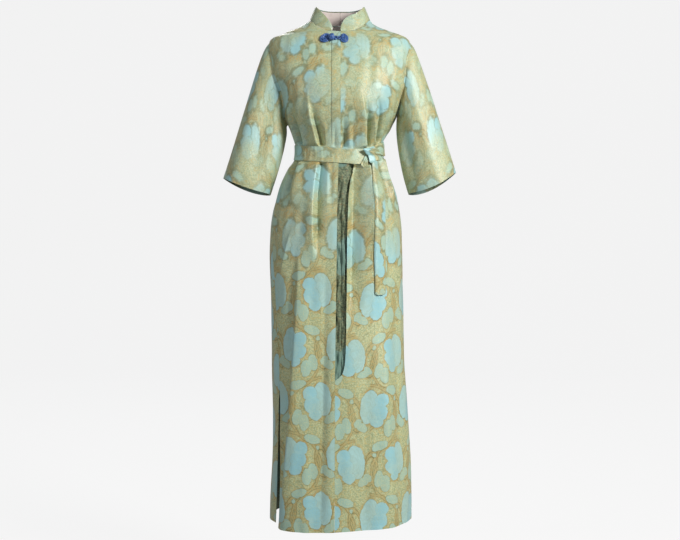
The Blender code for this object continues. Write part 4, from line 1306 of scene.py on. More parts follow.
def capped(points: Points, inside_out: bool = False) -> tuple[Points, list, Points]:
    """Closed skin over a grid that runs round and ends in two caps, without a pattern.

    Args:
        points: Grid of points; rows run down and columns run round.
        inside_out: Whether its faces are turned over.

    Returns:
        Points, faces and one pattern coordinate for each corner.
    """
    index = numbered(*points.shape[:2], closed=True)
    first, last = index[0, :-1], index[-1, -2::-1]
    faces = [*grid_faces(index).tolist(), first.tolist(), last.tolist()]
    if inside_out:
        faces = [face[::-1] for face in faces]
    return points.reshape(-1, 3), faces, np.zeros((sum(map(len, faces)), 2))


def join_meshes(name: str, parts: list, look: Look) -> Piece:
    """One object from several parts.

    Args:
        name: Name of the object.
        parts: Points, faces and corner coordinates of each part.
        look: Its material.

    Returns:
        The object.
    """
    points, faces, corners, base = [], [], [], 0
    for part_points, part_faces, part_corners in parts:
        points.append(part_points)
        faces += [[base + number for number in face] for face in part_faces]
        corners.append(part_corners)
        base += len(part_points)
    thing = object_from(name, np.concatenate(points), faces, np.concatenate(corners))
    thing.data.materials.append(look)
    return thing


@dataclass(frozen=True)
class Frog:
    """Knotted fastening at the neck: two coiled pads, the ball and its loop."""

    form: BodyForm
    look: Look
    layer_gap: float = 0.5
    cord: float = 2.3
    ball_cord: float = 2.5
    link_cord: float = 1.7
    # Sideways place, drop, half width and half height.
    right_pad: tuple = (-38.2, 57.6, 13.6, 16.8)
    left_pad: tuple = (10.6, 58.2, 12.0, 16.4)
    ball: tuple = (-21.4, 60.4, 8.6, 9.8)
    link: tuple = (-6.6, 58.4, 5.2, 6.0)
    core_inset: float = 1.6
    # Lean and turn of each cord wound round the ball.
    windings: Rows = ((0.5, 0.2), (0.9, 1.5), (1.2, 2.7), (0.75, 3.9), (1.05, 5.1))

    def _patch(
        self, place: float, drop: float, sideways: Points, down: Points, lift: Points
    ) -> tuple[Points, Points]:
        """Points and normals over the cloth, given by distances from one place on it."""
        form = self.form
        middle = form.angle_at(place, drop)
        steep = float(form.normal(middle, drop)[..., 2])
        angles = middle + np.degrees(sideways / form.radius(np.radians(middle), drop))
        drops = drop + down * math.sqrt(1 - steep**2)
        return form.lifted(angles, drops, lift)

    def _fasten(self, name: str, node: str, parts: list) -> None:
        """Joins the parts of one piece and puts it on the frame."""
        attach(join_meshes(name, parts, self.look), node)

    def _build_pad(self, node: str, sizes: tuple, start: float, way: float) -> None:
        """Coil of satin cord on a low domed base.

        Args:
            node: Solid it stands for.
            sizes: Sideways place, drop, half width and half height.
            start: Turn at which the coil begins.
            way: 1 or -1, the way that it winds.
        """
        place, drop, wide, high = sizes
        turns = (min(wide, high) - self.cord) / (2 * self.cord * 0.97)
        share = shares(149)
        turn = start + way * TURN * turns * share
        reach = 1.0 - 0.9 * share
        sideways = (wide - self.cord) * reach * np.cos(turn)
        down = (high - self.cord) * reach * np.sin(turn)
        dome = 0.9 * (1 - reach**2)
        line, normals = self._patch(place, drop, sideways, down, self.layer_gap + self.cord + dome)
        coil = Tube(self.cord).mesh(line, normals)
        turn, ring = np.meshgrid(round_turn(32), np.linspace(0.05, 0.93, 6))
        height = self.layer_gap + self.cord * 1.1 * np.sqrt(1 - ring**2)
        sideways, down = wide * ring * np.cos(turn), high * ring * np.sin(turn)
        top, _ = self._patch(place, drop, sideways, down, height)
        self._fasten(node + "_coil", node, [coil, capped(top, inside_out=True)])

    def _build_ball(self) -> None:
        """Ball knot: cords winding round an oval core."""
        form = self.form
        place, drop, wide, high = self.ball
        angle = form.angle_at(place, drop)
        sizes = np.array([wide, wide, high])
        reach = np.linalg.norm(sizes * form.normal(angle, drop))
        centre, _ = form.lifted(angle, drop, self.layer_gap + reach)
        turn = round_turn(72)
        parts = []
        for lean, side_turn in self.windings:
            level = math.sin(lean)
            axis = np.array(
                [level * math.sin(side_turn), -level * math.cos(side_turn), math.cos(lean)]
            )
            first = unit(np.cross(axis, np.array([0.3, 1.0, 0.2])))
            second = np.cross(axis, first)
            wave = 0.28 * np.sin(3 * turn + side_turn)[:, None]
            circle = np.cos(turn)[:, None] * first + np.sin(turn)[:, None] * second
            ring = unit(circle + wave * axis)
            over = 1.0 + 0.05 * np.cos(4 * turn + lean)[:, None]
            line = centre + ring * (sizes - self.ball_cord) * over
            parts.append(Tube(self.ball_cord, closed=True).mesh(line, ring))
        tilt, spin = np.meshgrid(np.linspace(0.08, math.pi - 0.08, 15), turn[::3], indexing="ij")
        level = np.sin(tilt)
        core = np.stack([level * np.sin(spin), -level * np.cos(spin), np.cos(tilt)], -1)
        parts.append(capped(core * (sizes - self.core_inset) + centre))
        self._fasten("frog_ball_knot", "frog_ball", parts)

    def _build_link(self) -> None:
        """Crossed cords between the ball and the left pad."""
        place, drop, wide, high = self.link
        turn = round_turn(72)
        lift = self.layer_gap + self.link_cord + 1.3 * (1 + np.cos(turn)) / 2
        sideways, down = (wide + 1.2) * np.sin(turn), high * 0.8 * np.sin(2 * turn)
        line, normals = self._patch(place, drop, sideways, down, lift)
        cords = [Tube(self.link_cord, closed=True).mesh(line, normals)]
        self._fasten("frog_link", "frog_loop", cords)

    def build_all(self) -> None:
        """The whole frog."""
        self._build_pad("frog_pad_right", self.right_pad, 0.2, 1.0)
        self._build_pad("frog_pad_left", self.left_pad, math.pi, -1.0)
        self._build_ball()
        self._build_link()


@dataclass(frozen=True)
class Oval:
    """One oval of the woven flower pattern, placed from the middle of the flower."""

    middle: Pair
    half: Pair
    turn: float = 0.0


def colour(red: float, green: float, blue: float) -> Colour:
    """Linear colour from 0 to 255 display values."""
    values = []
    for value in (red / 255, green / 255, blue / 255):
        values.append(value / 12.92 if value <= 0.04045 else ((value + 0.055) / 1.055) ** 2.4)
    return (*values, 1.0)


def grey(value: float) -> Colour:
    """Linear grey."""
    return (value, value, value, 1.0)


class Dye:
    """Node tree of one finish, built up by small expressions. Lengths in it are millimetres."""

    def __init__(self, name: str) -> None:
        """Starts an empty finish."""
        self.material = bpy.data.materials.new(name)
        self.material.use_nodes = True
        self.tree = self.material.node_tree
        self.tree.nodes.clear()

    def node(self, kind: str, inputs: dict, **settings) -> bpy.types.Node:
        """Adds a node.

        Args:
            kind: Name of the shader node's type.
            inputs: Socket or value for each input, by name or number.
            **settings: Properties of the node.

        Returns:
            The node.
        """
        node = self.tree.nodes.new("ShaderNode" + kind)
        for name, value in settings.items():
            setattr(node, name, value)
        for name, value in inputs.items():
            if isinstance(value, bpy.types.NodeSocket):
                self.tree.links.new(value, node.inputs[name])
            else:
                node.inputs[name].default_value = value
        return node

    def math(self, operation: str, *values: Value) -> Socket:
        """Result of a maths node."""
        return self.node("Math", dict(enumerate(values)), operation=operation).outputs[0]

    def add(self, a: Value, b: Value) -> Socket:
        """a + b."""
        return self.math("ADD", a, b)

    def times(self, a: Value, b: Value) -> Socket:
        """a x b."""
        return self.math("MULTIPLY", a, b)

    def scaled(self, a: Socket, b: Value, c: Value) -> Socket:
        """a x b + c."""
        return self.math("MULTIPLY_ADD", a, b, c)

    def wave(self, value: Socket) -> Socket:
        """Sine of a value."""
        return self.math("SINE", value)

    def size(self, value: Socket) -> Socket:
        """The value without its sign."""
        return self.math("ABSOLUTE", value)

    def fade(self, value: Socket, start: float, end: float) -> Socket:
        """0 at start and 1 at end, eased; start may be the larger."""
        low, high, flip = (start, end, False) if start < end else (end, start, True)
        ends = {"From Min": low, "From Max": high, "To Min": float(flip), "To Max": float(not flip)}
        inputs = {"Value": value, **ends}
        return self.node("MapRange", inputs, interpolation_type="SMOOTHSTEP").outputs[0]

    def band(self, value: Socket, half: float) -> Socket:
        """1 where the value is near 0, fading out at half."""
        return self.fade(self.size(value), half, half * 0.35)

    def mix(self, share: Value, first: Paint, second: Paint) -> Socket:
        """Colour between two colours."""
        inputs = {0: share, 6: first, 7: second}
        return self.node("Mix", inputs, data_type="RGBA").outputs[2]

    def laid(self, base: Paint, where: Socket, most: float, top: Paint) -> Socket:
        """Colour laid over a base where a share says, at most this strongly."""
        return self.mix(self.times(where, most), base, top)

    def noise(self, at: Socket, wave: float, detail: float = 2.0, rough: float = 0.5) -> Socket:
        """Noise from 0 to 1 with this wave length."""
        inputs = {"Vector": at, "Scale": 1.0 / wave, "Detail": detail, "Roughness": rough}
        return self.node("TexNoise", inputs).outputs[0]

    def vector(self, operation: str, inputs: dict, output: int | str = 0) -> Socket:
        """Result of a vector maths node."""
        return self.node("VectorMath", inputs, operation=operation).outputs[output]

    def sway(self, at: Socket, wave: float, reach: float) -> Socket:
        """Place vector pushed about by noise, so that lines drawn with it waver."""
        inputs = {"Vector": at, "Scale": 1.0 / wave, "Detail": 1.0}
        push = self.node("TexNoise", inputs).outputs[1]
        push = self.vector("SUBTRACT", {0: push, 1: (0.5, 0.5, 0.5)})
        return self.vector("MULTIPLY_ADD", {0: push, 1: (reach, reach, 0.0), 2: at})

    def join(self, x: Value, y: Value) -> Socket:
        """Vector from two numbers."""
        return self.node("CombineXYZ", {0: x, 1: y}).outputs[0]

    def oval(self, at: Socket, oval: Oval) -> Socket:
        """Distance outside an oval, negative inside it and nearly true at its edge."""
        inputs = {
            "Vector": at,
            "Location": (*oval.middle, 0.0),
            "Rotation": (0.0, 0.0, math.radians(oval.turn)),
            "Scale": (*oval.half, 1.0),
        }
        local = self.node("Mapping", inputs, vector_type="TEXTURE").outputs[0]
        length = self.vector("LENGTH", {0: local}, "Value")
        return self.times(self.add(length, -1.0), min(oval.half))

    def union(self, distances: list, soft: float = 0.0) -> Socket:
        """Distance outside several shapes together."""
        total = distances[0]
        for distance in distances[1:]:
            total = self.math("SMOOTH_MIN", total, distance, soft)
        return total

    def parts(self, at: Socket) -> list[Socket]:
        """X, Y and Z of a vector."""
        return list(self.node("SeparateXYZ", {0: at}).outputs)

    def pattern_places(self) -> list[Socket]:
        """Pattern coordinates in millimetres: the vector, its X, Y and Z."""
        return self._millimetres(self.node("UVMap", {}, uv_map="pattern").outputs[0])

    def object_places(self) -> list[Socket]:
        """Object coordinates in millimetres: the vector, its X, Y and Z."""
        return self._millimetres(self.node("TexCoord", {}).outputs["Object"])

    def _millimetres(self, metres: Socket) -> list[Socket]:
        """A vector in millimetres, its X, Y and Z."""
        places = self.vector("SCALE", {0: metres, "Scale": 1 / MM})
        return [places, *self.parts(places)]

    def finish(self, base: Paint, rough: Value, height: Socket, **fixed) -> Look:
        """Ends the tree in a shader.

        Args:
            base: Colour.
            rough: Roughness.
            height: Relief in millimetres.
            **fixed: Other inputs of the shader, with spaces written as underlines.

        Returns:
            The material.
        """
        bump = self.node("Bump", {"Strength": 1.0, "Distance": MM, "Height": height})
        inputs = {"Base Color": base, "Roughness": rough, "Normal": bump.outputs[0]}
        inputs.update({name.replace("_", " "): value for name, value in fixed.items()})
        shader = self.node("BsdfPrincipled", inputs)
        self.node("OutputMaterial", {"Surface": shader.outputs[0]})
        return self.material


@dataclass(frozen=True)
class BrocadeDesign:
    """Shapes and colours of the flowered brocade.

    Each row of flowers is the row below it turned over sideways and shifted half a repeat.
    """

    across: float = 126.0
    step_up: float = 142.5
    wrap_low: float = -75.0
    lobes: tuple[Oval, ...] = (
        Oval((-19.0, 20.0), (18.0, 18.5)),
        Oval((-13.0, -10.0), (22.0, 21.0)),
        Oval((-5.0, -35.0), (17.0, 16.0), -20.0),
    )
    petal: Oval = Oval((14.0, 4.0), (24.0, 45.0), 9.0)
    leaves: tuple[Oval, ...] = (
        Oval((-50.0, 43.0), (22.0, 12.0), 20.0),
        Oval((33.0, -48.0), (17.0, 11.0), 30.0),
        Oval((-52.0, -42.0), (12.0, 22.0), -12.0),
    )
    far_leaves: tuple[Oval, ...] = (
        Oval((-28.0, 87.0), (13.0, 23.0)),
        Oval((18.0, 105.0), (9.0, 13.0), -35.0),
        Oval((1.0, 163.0), (5.5, 6.0)),
    )
    vine: Oval = Oval((-80.0, 115.0), (88.0, 88.0))
    stems: tuple[Oval, ...] = (
        Oval((12.0, 128.0), (15.0, 38.0), 8.0),
        Oval((-52.0, 58.0), (34.0, 40.0)),
    )
    vine_gap: float = 5.6
    line_half: float = 0.8
    halo_width: float = 7.5
    ragged: float = 4.5
    faded_below: float = -740.0
    faded_above: float = -470.0
    soft_edge: float = 5.5
    calm_share: float = 0.3
    # Share of the pattern faded into the ground: up high, on the bodice, it is painted sheen
    # washing the pattern out; low on the skirt it is wear.
    bodice_fade: float = 0.5
    bodice_sheen_blue: float = 0.22
    skirt_fade: float = 0.22
    lobe_colour: Colour = colour(140, 188, 194)
    petal_colour: Colour = colour(158, 194, 190)
    leaf_colour: Colour = colour(152, 184, 168)
    vein_colour: Colour = colour(150, 176, 160)
    ground_light: Colour = colour(184, 192, 150)
    ground_deep: Colour = colour(150, 160, 120)
    ground_gold: Colour = colour(190, 166, 98)
    ground_blue: Colour = colour(128, 150, 116)
    halo_colour: Colour = colour(172, 138, 70)
    line_colour: Colour = colour(108, 108, 60)
    # Colours of the wrong side, darkened with painted shade for the recess behind the middle
    # opening.
    shaded_reverse_deep: Colour = colour(70, 84, 62)
    shaded_reverse_light: Colour = colour(116, 126, 94)
    shaded_reverse_brown: Colour = colour(124, 98, 54)
    shaded_reverse_flower: Colour = colour(98, 132, 122)
    shaded_reverse_leaf: Colour = colour(84, 96, 72)

    def _cells(self, dye: Dye, x: Socket, y: Socket) -> tuple[Socket, Socket]:
        """Places from the flower of this row, and from the flower of the row below."""
        row = dye.math("FLOOR", dye.add(dye.times(y, 1.0 / self.step_up), 0.5))
        odd = dye.math("FLOORED_MODULO", row, 2.0)
        up = dye.scaled(row, -self.step_up, y)
        flipped = dye.times(x, dye.scaled(odd, -2.0, 1.0))
        shifted = dye.scaled(odd, self.across / 2, flipped)
        ends = (self.wrap_low + self.across, self.wrap_low)
        across = dye.math("WRAP", shifted, *ends)
        below = dye.math("WRAP", dye.math("SUBTRACT", self.across / 2, across), *ends)
        return dye.join(across, up), dye.join(below, dye.add(up, self.step_up))

    def build(self, face: ClothFace) -> Look:
        """Finish of one face of the cloth.

        Args:
            face: Which face.

        Returns:
            The material.
        """
        dye = Dye(face.value)
        places, x, y, _ = dye.pattern_places()
        drifted = dye.sway(places, 30.0, 8.0)
        swayed = dye.sway(drifted, 6.5, self.ragged)
        here, below = self._cells(dye, *dye.parts(swayed)[:2])
        lobes = dye.union([dye.oval(here, oval) for oval in self.lobes], 3.0)
        petal = dye.oval(here, self.petal)
        leaves = [(here, oval) for oval in self.leaves]
        leaves += [*((below, oval) for oval in self.far_leaves), (here, self.far_leaves[0])]
        leaf = dye.union([dye.oval(at, oval) for at, oval in leaves], 1.5)
        vines = [(here, self.vine), (below, self.vine), *((below, oval) for oval in self.stems)]
        rings = [dye.size(dye.oval(at, oval)) for at, oval in vines]
        vine = dye.union([dye.add(ring, -self.vine_gap / 2) for ring in rings])
        shapes = (lobes, petal, dye.union([lobes, petal]), leaf, vine)
        return self._colour(dye, (places, x, y), shapes, face)

    def _ground(self, dye: Dye, places: Socket, grains: tuple, high: Socket) -> Socket:
        """Flecked and mottled ground between the flowers, a little bluer up on the bodice, where a
        cool sheen is painted into it.
        """
        cloud, grain, speck = grains
        tone = dye.scaled(grain, 1.6, dye.times(cloud, 0.5))
        ground = dye.mix(dye.fade(tone, 0.75, 1.3), self.ground_deep, self.ground_light)
        ground = dye.laid(ground, dye.fade(speck, 0.52, 0.62), 0.7, self.ground_gold)
        patches = dye.fade(dye.noise(places, 5.5, 2.0, 0.6), 0.46, 0.34)
        ground = dye.laid(ground, patches, 0.75, self.ground_blue)
        # Painted sheen: the ground is tinted blue up high, on the bodice.
        ground = dye.laid(ground, high, self.bodice_sheen_blue, self.leaf_colour)
        swirl = dye.wave(dye.times(dye.noise(places, 40.0, 1.0), 40.0))
        ground = dye.laid(ground, dye.fade(swirl, 0.85, 1.0), 0.5, self.ground_gold)
        return dye.laid(ground, dye.fade(swirl, -0.9, -1.0), 0.35, self.line_colour)

    def _colour(self, dye: Dye, at: tuple, shapes: tuple, face: ClothFace) -> Look:
        """Colours, sheen and relief over the shapes.

        Args:
            dye: The finish being made.
            at: Pattern coordinates: the vector, its X and its Y.
            shapes: Distances outside the lobes, petals, flowers, leaves and vines.
            face: Which face of the cloth.

        Returns:
            The material.
        """
        places, x, y = at
        cloud = dye.noise(places, 38.0, 3.0)
        grain = dye.noise(places, 3.6, 1.0, 0.6)
        speck = dye.noise(places, 2.2, 2.0, 0.7)
        # 1 up high and 0 low on the skirt. Up high it carries painted sheen, which blues the
        # ground, washes the pattern out and softens its edges, halos and vines.
        high = dye.fade(dye.object_places()[3], self.faded_below, self.faded_above)
        ground = self._ground(dye, places, (cloud, grain, speck), high)
        soft = dye.scaled(high, self.soft_edge, 1.0)
        *soft_shapes, vine = shapes
        lobes, petal, flower, leaf = (dye.math("DIVIDE", shape, soft) for shape in soft_shapes)
        in_flower, in_leaf = dye.fade(flower, 0.6, -0.6), dye.fade(leaf, 0.8, -0.8)
        calm = dye.scaled(high, -self.calm_share, 1.0)
        flecked = dye.fade(grain, 0.34, 0.54)
        motif = dye.union([flower, dye.add(leaf, 3.0)])
        halo = dye.fade(motif, self.halo_width, 0.0)
        halo = dye.times(halo, dye.fade(dye.noise(places, 22.0, 1.0), 0.3, 0.6))
        halo = dye.times(dye.times(halo, flecked), calm)
        shade = dye.laid(ground, halo, 0.95, self.halo_colour)
        near_vine = dye.times(dye.times(dye.fade(vine, 4.5, 0.5), flecked), calm)
        shade = dye.laid(shade, near_vine, 0.6, self.halo_colour)
        vine_line = dye.times(dye.band(vine, self.line_half), calm)
        shade = dye.laid(shade, vine_line, 0.85, self.line_colour)
        parted = dye.scaled(petal, 0.8, dye.times(dye.noise(places, 9.0, 1.0), 7.0))
        stripes = dye.fade(dye.wave(dye.scaled(x, 0.5, parted)), -0.4, 0.9)
        leafy = dye.laid(self.leaf_colour, dye.fade(grain, 0.5, 0.66), 0.6, self.ground_light)
        shade = dye.laid(shade, in_leaf, 0.92, leafy)
        veined = dye.laid(self.petal_colour, stripes, 0.3, self.vein_colour)
        veined = dye.laid(veined, dye.fade(cloud, 0.5, 0.7), 0.4, self.lobe_colour)
        shade = dye.mix(dye.fade(petal, 0.6, -0.6), shade, veined)
        lobed = dye.laid(self.lobe_colour, dye.fade(lobes, -9.0, -1.0), 0.35, self.petal_colour)
        lobed = dye.laid(lobed, dye.fade(grain, 0.5, 0.7), 0.5, self.leaf_colour)
        lobed = dye.laid(lobed, dye.fade(cloud, 0.5, 0.68), 0.6, self.petal_colour)
        shade = dye.mix(dye.fade(lobes, 0.6, -0.6), shade, lobed)
        edges = [dye.size(flower), dye.size(leaf), dye.add(dye.size(lobes), 0.35)]
        lines = dye.band(dye.union(edges), self.line_half)
        lines = dye.times(lines, dye.fade(dye.noise(places, 12.0, 1.0), 0.3, 0.55))
        shade = dye.laid(shade, lines, 0.6, self.line_colour)
        # Pattern faded into the ground at random: wear on the skirt, and more strongly up high, as
        # painted sheen that washes it out.
        worn_and_sheen = dye.fade(dye.noise(places, 110.0, 1.0), 0.36, 0.64)
        worn_and_sheen = dye.times(worn_and_sheen, dye.scaled(high, self.bodice_fade, self.skirt_fade))
        shade = dye.mix(worn_and_sheen, shade, ground)
        weft, warp = dye.wave(dye.times(y, 7.0)), dye.wave(dye.times(x, 8.5))
        raised = dye.scaled(in_leaf, 0.1, dye.times(in_flower, 0.16))
        relief = dye.scaled(dye.times(weft, warp), 0.03, raised)
        relief = dye.scaled(speck, 0.35, relief)
        relief = dye.scaled(dye.noise(places, 17.0, 2.0), 1.1, relief)
        # The wrong side's colour carries painted shade.
        if face is ClothFace.WRONG_SIDE_SHADED:
            shade = self._shaded_reverse(dye, places, in_flower, in_leaf)
            return dye.finish(shade, 0.62, relief, Sheen_Weight=0.15)
        rough = dye.scaled(speck, 0.12, dye.scaled(in_flower, -0.06, 0.38))
        fixed = {"Sheen_Weight": 0.12, "Sheen_Roughness": 0.4, "Specular_IOR_Level": 0.6}
        return dye.finish(shade, rough, relief, **fixed)

    def _shaded_reverse(self, dye: Dye, places: Socket, in_flower: Socket, in_leaf: Socket) -> Socket:
        """Colour of the wrong side, with painted shade of the recess: dark loose threads, the
        flowers faint.
        """
        mottle = dye.noise(places, 5.0, 3.0, 0.6)
        base = dye.mix(dye.fade(mottle, 0.4, 0.62), self.shaded_reverse_deep, self.shaded_reverse_light)
        brown = dye.fade(dye.noise(places, 9.0, 2.0), 0.55, 0.7)
        base = dye.laid(base, brown, 0.6, self.shaded_reverse_brown)
        base = dye.laid(base, in_flower, 0.75, self.shaded_reverse_flower)
        return dye.laid(base, in_leaf, 0.35, self.shaded_reverse_leaf)


@dataclass(frozen=True)
class LiningFinish:
    """Pinkish beige twill lining with a seam down the middle of the back."""

    deep: Colour = colour(190, 176, 171)
    light: Colour = colour(212, 200, 194)
    # Painted light: this pale colour is laid over the lining from just below the neck point down,
    # where it lies in shade.
    collar: Colour = colour(244, 234, 226)
    thread: Colour = colour(168, 152, 146)
    seam: Colour = colour(140, 126, 120)
    painted_light_fade: Pair = (2.0, -16.0)

    def build(self) -> Look:
        """The material, lighter from just below the neck point down, where painted light lifts
        lining that lies in shade.
        """
        dye = Dye("lining")
        places, x, _, z = dye.object_places()
        tone = dye.noise(places, 30.0, 3.0)
        base = dye.mix(dye.fade(tone, 0.35, 0.65), self.deep, self.light)
        # Painted light: the lining turns pale from just below the neck point down.
        base = dye.mix(dye.fade(z, *self.painted_light_fade), base, self.collar)
        threads = dye.noise(places, 1.1, 1.0)
        base = dye.laid(base, threads, 0.25, self.thread)
        seam = dye.band(x, 1.0)
        base = dye.laid(base, seam, 0.7, self.seam)
        height = dye.scaled(threads, 0.12, dye.scaled(seam, -0.8, dye.times(tone, 1.6)))
        return dye.finish(base, 0.55, height, Sheen_Weight=0.1)


@dataclass(frozen=True)
class SatinFinish:
    """Royal blue satin cut on the bias, rolled into cord."""

    deep: Colour = colour(36, 66, 122)
    light: Colour = colour(64, 106, 166)
    # Painted shade: dark colour laid along the cord's twisted folds.
    twist_fold_shade: Colour = colour(26, 46, 96)

    def build(self) -> Look:
        """The material."""
        dye = Dye("frog_satin")
        places, x, y, _ = dye.pattern_places()
        spiral = dye.wave(dye.scaled(x, 2.6, dye.times(y, 0.52)))
        tone = dye.noise(places, 3.0, 2.0)
        base = dye.mix(dye.fade(tone, 0.3, 0.7), self.deep, self.light)
        # Painted shade along the twisted folds.
        base = dye.laid(base, dye.fade(spiral, 0.2, 1.0), 0.3, self.twist_fold_shade)
        height = dye.scaled(tone, 0.25, dye.times(spiral, 0.07))
        return dye.finish(
            base, 0.3, height, Sheen_Weight=0.1, Coat_Weight=0.15, Coat_Roughness=0.25
        )


@dataclass(frozen=True)
class ThreadFinish:
    """Khaki sewing thread."""

    deep: Colour = colour(150, 148, 104)
    light: Colour = colour(190, 186, 140)

    def build(self) -> Look:
        """The material."""
        dye = Dye("thread")
        places, x, *_ = dye.object_places()
        base = dye.mix(dye.noise(places, 6.0, 2.0), self.deep, self.light)
        return dye.finish(base, 0.5, dye.times(dye.wave(dye.times(x, 14.0)), 0.02))


@dataclass(frozen=True)
class Stitching:
    """Running stitches laid along lines, as one plain mesh."""

    look: Look
    pitch: float = 4.2
    length: float = 2.4
    width: float = 0.5

    def _group(self) -> bpy.types.NodeTree:
        """Node group that lays one stitch at each step along edges."""
        tree = bpy.data.node_groups.new("stitch_run", "GeometryNodeTree")
        face = tree.interface
        face.new_socket("Line", in_out="INPUT", socket_type="NodeSocketGeometry")
        for name in ("Pitch", "Length", "Width"):
            face.new_socket(name, in_out="INPUT", socket_type="NodeSocketFloat")
        face.new_socket("Look", in_out="INPUT", socket_type="NodeSocketMaterial")
        face.new_socket("Stitches", in_out="OUTPUT", socket_type="NodeSocketGeometry")
        start, end, curve, step, ball, size, tangent, turn, place, real, paint = (
            tree.nodes.new(kind)
            for kind in (
                "NodeGroupInput", "NodeGroupOutput", "GeometryNodeMeshToCurve",
                "GeometryNodeResampleCurve", "GeometryNodeMeshUVSphere", "ShaderNodeCombineXYZ",
                "GeometryNodeInputTangent", "FunctionNodeAlignEulerToVector",
                "GeometryNodeInstanceOnPoints", "GeometryNodeRealizeInstances",
                "GeometryNodeSetMaterial",
            )
        )
        step.mode = "LENGTH"
        turn.axis = "X"
        for name, value in (("Segments", 6), ("Rings", 5), ("Radius", 0.5)):
            ball.inputs[name].default_value = value
        for source, out, target, into in (
            (start, "Line", curve, "Mesh"),
            (curve, "Curve", step, "Curve"),
            (start, "Pitch", step, "Length"),
            (start, "Length", size, 0),
            (start, "Width", size, 1),
            (start, "Width", size, 2),
            (tangent, 0, turn, "Vector"),
            (step, "Curve", place, "Points"),
            (ball, "Mesh", place, "Instance"),
            (turn, "Rotation", place, "Rotation"),
            (size, 0, place, "Scale"),
            (place, "Instances", real, "Geometry"),
            (real, "Geometry", paint, "Geometry"),
            (start, "Look", paint, "Material"),
            (paint, "Geometry", end, "Stitches"),
        ):
            tree.links.new(source.outputs[out], target.inputs[into])
        return tree

    def build(self, name: str, runs: list[Points]) -> None:
        """Lays the stitches along several lines, given in millimetres."""
        points, edges, base = [], [], 0
        for run in runs:
            points.append(run)
            edges += [(base + k, base + k + 1) for k in range(len(run) - 1)]
            base += len(run)
        lines = bpy.data.meshes.new(name + "_lines")
        lines.from_pydata(np.concatenate(points) * MM, edges, [])
        holder = put_in_scene(bpy.data.objects.new(name + "_lines", lines))
        modifier = holder.modifiers.new("stitches", "NODES")
        modifier.node_group = self._group()
        sizes = {"Pitch": self.pitch, "Length": self.length, "Width": self.width}
        values = {"Look": self.look, **{key: size * MM for key, size in sizes.items()}}
        for item in modifier.node_group.interface.items_tree:
            if item.in_out == "INPUT" and item.name in values:
                modifier[item.identifier] = values[item.name]
        evaluated = holder.evaluated_get(bpy.context.evaluated_depsgraph_get())
        mesh = bpy.data.meshes.new_from_object(evaluated)
        bpy.data.objects.remove(holder, do_unlink=True)
        piece = put_in_scene(bpy.data.objects.new(name, mesh))
        mesh.name = name
        mesh.shade_smooth()
        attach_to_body(piece, "root")
        LOG.info("%s: %d faces", name, len(mesh.polygons))


@dataclass(frozen=True)
class Lamp:
    """Soft square light, in metres and watts."""

    name: str
    place: Triple
    size: float
    power: float
    tint: Triple


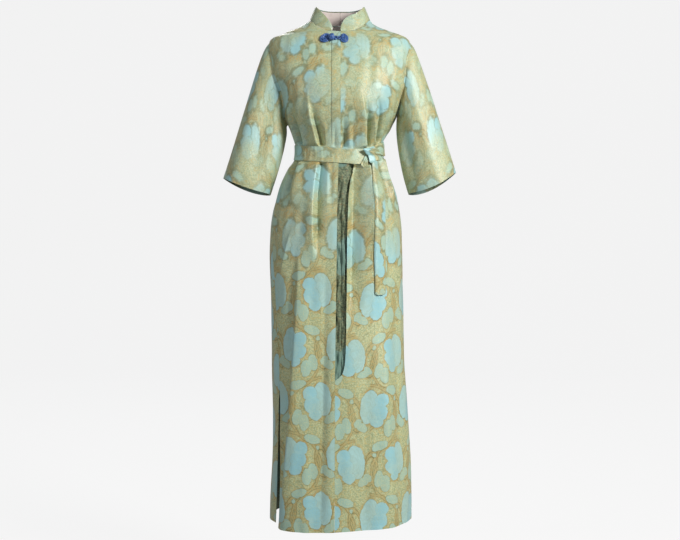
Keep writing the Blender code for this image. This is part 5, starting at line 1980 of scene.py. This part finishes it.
@dataclass(frozen=True)
class Studio:
    """Plain pale floor and backdrop, soft lights and the camera, in metres."""

    camera_place: Triple = (0.0, -3.0, -0.545)
    camera_pitch: float = 2.32
    half_view: float = 17.0
    sensor: float = 36.0
    floor: float = -1.62
    wall: float = 5.4
    bend: float = 0.9
    half_width: float = 7.0
    front: float = -6.0
    top: float = 9.0
    matt: Pair = (0.050, 0.051)
    shine: Pair = (0.846, 0.85)
    glow: float = 1.012
    aim: Triple = (0.0, 0.0, -0.6)
    lamps: tuple[Lamp, ...] = (
        Lamp("key", (2.6, -2.5, 0.9), 0.8, 176.0, (1.0, 0.985, 0.955)),
        Lamp("fill", (-2.4, -2.6, 0.3), 1.2, 24.0, (0.96, 0.98, 1.0)),
        Lamp("rear", (-0.6, 2.9, 1.5), 1.4, 32.0, (1.0, 0.99, 0.97)),
    )
    sky: Colour = (0.95, 0.97, 1.0, 1.0)
    sky_power: float = 0.29

    def _backdrop(self) -> None:
        """Floor that curves up into a wall."""
        dye = Dye("backdrop")
        places = dye.object_places()[0]
        tone = dye.noise(places, 900.0, 2.0)
        base, shine = (dye.mix(tone, *map(grey, pair)) for pair in (self.matt, self.shine))
        fixed = {"Emission_Color": shine, "Emission_Strength": self.glow}
        look = dye.finish(base, 0.95, tone, **fixed)
        turn = np.linspace(0.0, math.pi / 2, 17)
        bent_y = self.wall - self.bend + self.bend * np.sin(turn)
        bent_z = self.floor + self.bend * (1 - np.cos(turn))
        line_y = np.concatenate([[self.front], bent_y, [self.wall]])
        line_z = np.concatenate([[self.floor], bent_z, [self.top]])
        sides = (np.full(len(line_y), x) for x in (-self.half_width, self.half_width))
        points = np.stack([np.stack([side, line_y, line_z], -1) for side in sides], axis=1) / MM
        faces = grid_faces(numbered(*points.shape[:2]))[:, ::-1].tolist()
        drop = object_from("backdrop", points.reshape(-1, 3), faces)
        drop.data.materials.append(look)
        drop.visible_diffuse = False
        drop.visible_glossy = False

    def _light(self, lamp: Lamp) -> None:
        """Sets one lamp up, turned to the dress."""
        data = bpy.data.lights.new(lamp.name, "AREA")
        data.shape = "SQUARE"
        data.size = lamp.size
        data.energy = lamp.power
        data.color = lamp.tint
        light = put_in_scene(bpy.data.objects.new(lamp.name, data))
        way = np.array(self.aim) - np.array(lamp.place)
        light.location = lamp.place
        lean = math.acos(-way[2] / np.linalg.norm(way))
        light.rotation_euler = (lean, 0.0, math.atan2(way[1], way[0]) - math.pi / 2)

    def _camera(self) -> None:
        """Camera at the height of the hips, tipped down a little."""
        data = bpy.data.cameras.new("camera")
        data.sensor_width = self.sensor
        data.lens = self.sensor / 2 / math.tan(math.radians(self.half_view))
        data.clip_end = 40.0
        camera = put_in_scene(bpy.data.objects.new("camera", data))
        camera.location = self.camera_place
        camera.rotation_euler = (math.radians(90.0 - self.camera_pitch), 0.0, 0.0)
        bpy.context.scene.camera = camera

    def build(self) -> None:
        """Sets up the studio."""
        self._backdrop()
        for lamp in self.lamps:
            self._light(lamp)
        world = bpy.data.worlds.new("studio")
        world.use_nodes = True
        back = world.node_tree.nodes["Background"]
        back.inputs["Color"].default_value = self.sky
        back.inputs["Strength"].default_value = self.sky_power
        bpy.context.scene.world = world
        bpy.context.scene.view_settings.view_transform = "Standard"
        self._camera()


@dataclass(frozen=True)
class Seams:
    """Lines that the stitches follow."""

    form: BodyForm
    panels: Panels
    lift: float = 0.12
    fly_inset: float = 6.0
    end_inset: float = 1.0

    def fly_run(self) -> Points:
        """Stitched line of the fly band."""
        form, panels = self.form, self.panels
        top, low = panels.front_neck_drop + self.fly_inset, panels.fly_low - self.fly_inset
        drops = np.linspace(top, low, 160)
        wanted = np.full(len(drops), panels.fly_line)
        angles = form.angle_at(wanted, drops)
        for _ in range(3):
            missed = panels.fly_line - form.place(angles, drops)[:, 0]
            wanted = wanted + missed
            angles = form.angle_at(wanted, drops)
        return form.lifted(angles, drops, self.lift - panels.stitch_dent)[0]

    def hem_runs(self) -> list[Points]:
        """Blind-stitched hems of the fronts and the back."""
        form, panels = self.form, self.panels
        drop = form.hem_drop - panels.hem_depth
        left, right, back_left, back_right = (
            float(form.side_edge(drop, side, behind))
            for behind in (False, True)
            for side in (Side.LEFT, Side.RIGHT)
        )
        middle = float(form.angle_at(column_curve(panels.front_edge, 1, drop), drop))
        spans = ((middle, left), (-right, middle), (back_left, 360.0 - back_right))
        runs = []
        for start, end in spans:
            angles = np.linspace(start + self.end_inset, end - self.end_inset, 200)
            runs.append(form.lifted(angles, drop, self.lift - HEM_GROOVE)[0])
        return runs


def main() -> None:
    """Builds the dressed model piece by piece."""
    logging.basicConfig(level=logging.INFO, format="%(message)s")
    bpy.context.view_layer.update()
    form = BodyForm()
    design = BrocadeDesign()
    cloth = [design.build(face) for face in ClothFace]
    lining, satin, thread = LiningFinish().build(), SatinFinish().build(), ThreadFinish().build()
    panels = Panels(form)
    panels.build_all(cloth, cloth[1:])
    for cut in (RIGHT_SLEEVE, LEFT_SLEEVE):
        Sleeve(form, cut).build(cloth)
    Collar(form, panels).build(cloth, [lining])
    Belt(form).build_all(cloth[:1])
    Frog(form, satin).build_all()
    seams = Seams(form, panels)
    Stitching(thread).build("stitches", [seams.fly_run(), *seams.hem_runs()])
    Studio().build()


if __name__ == "__main__":
    main()
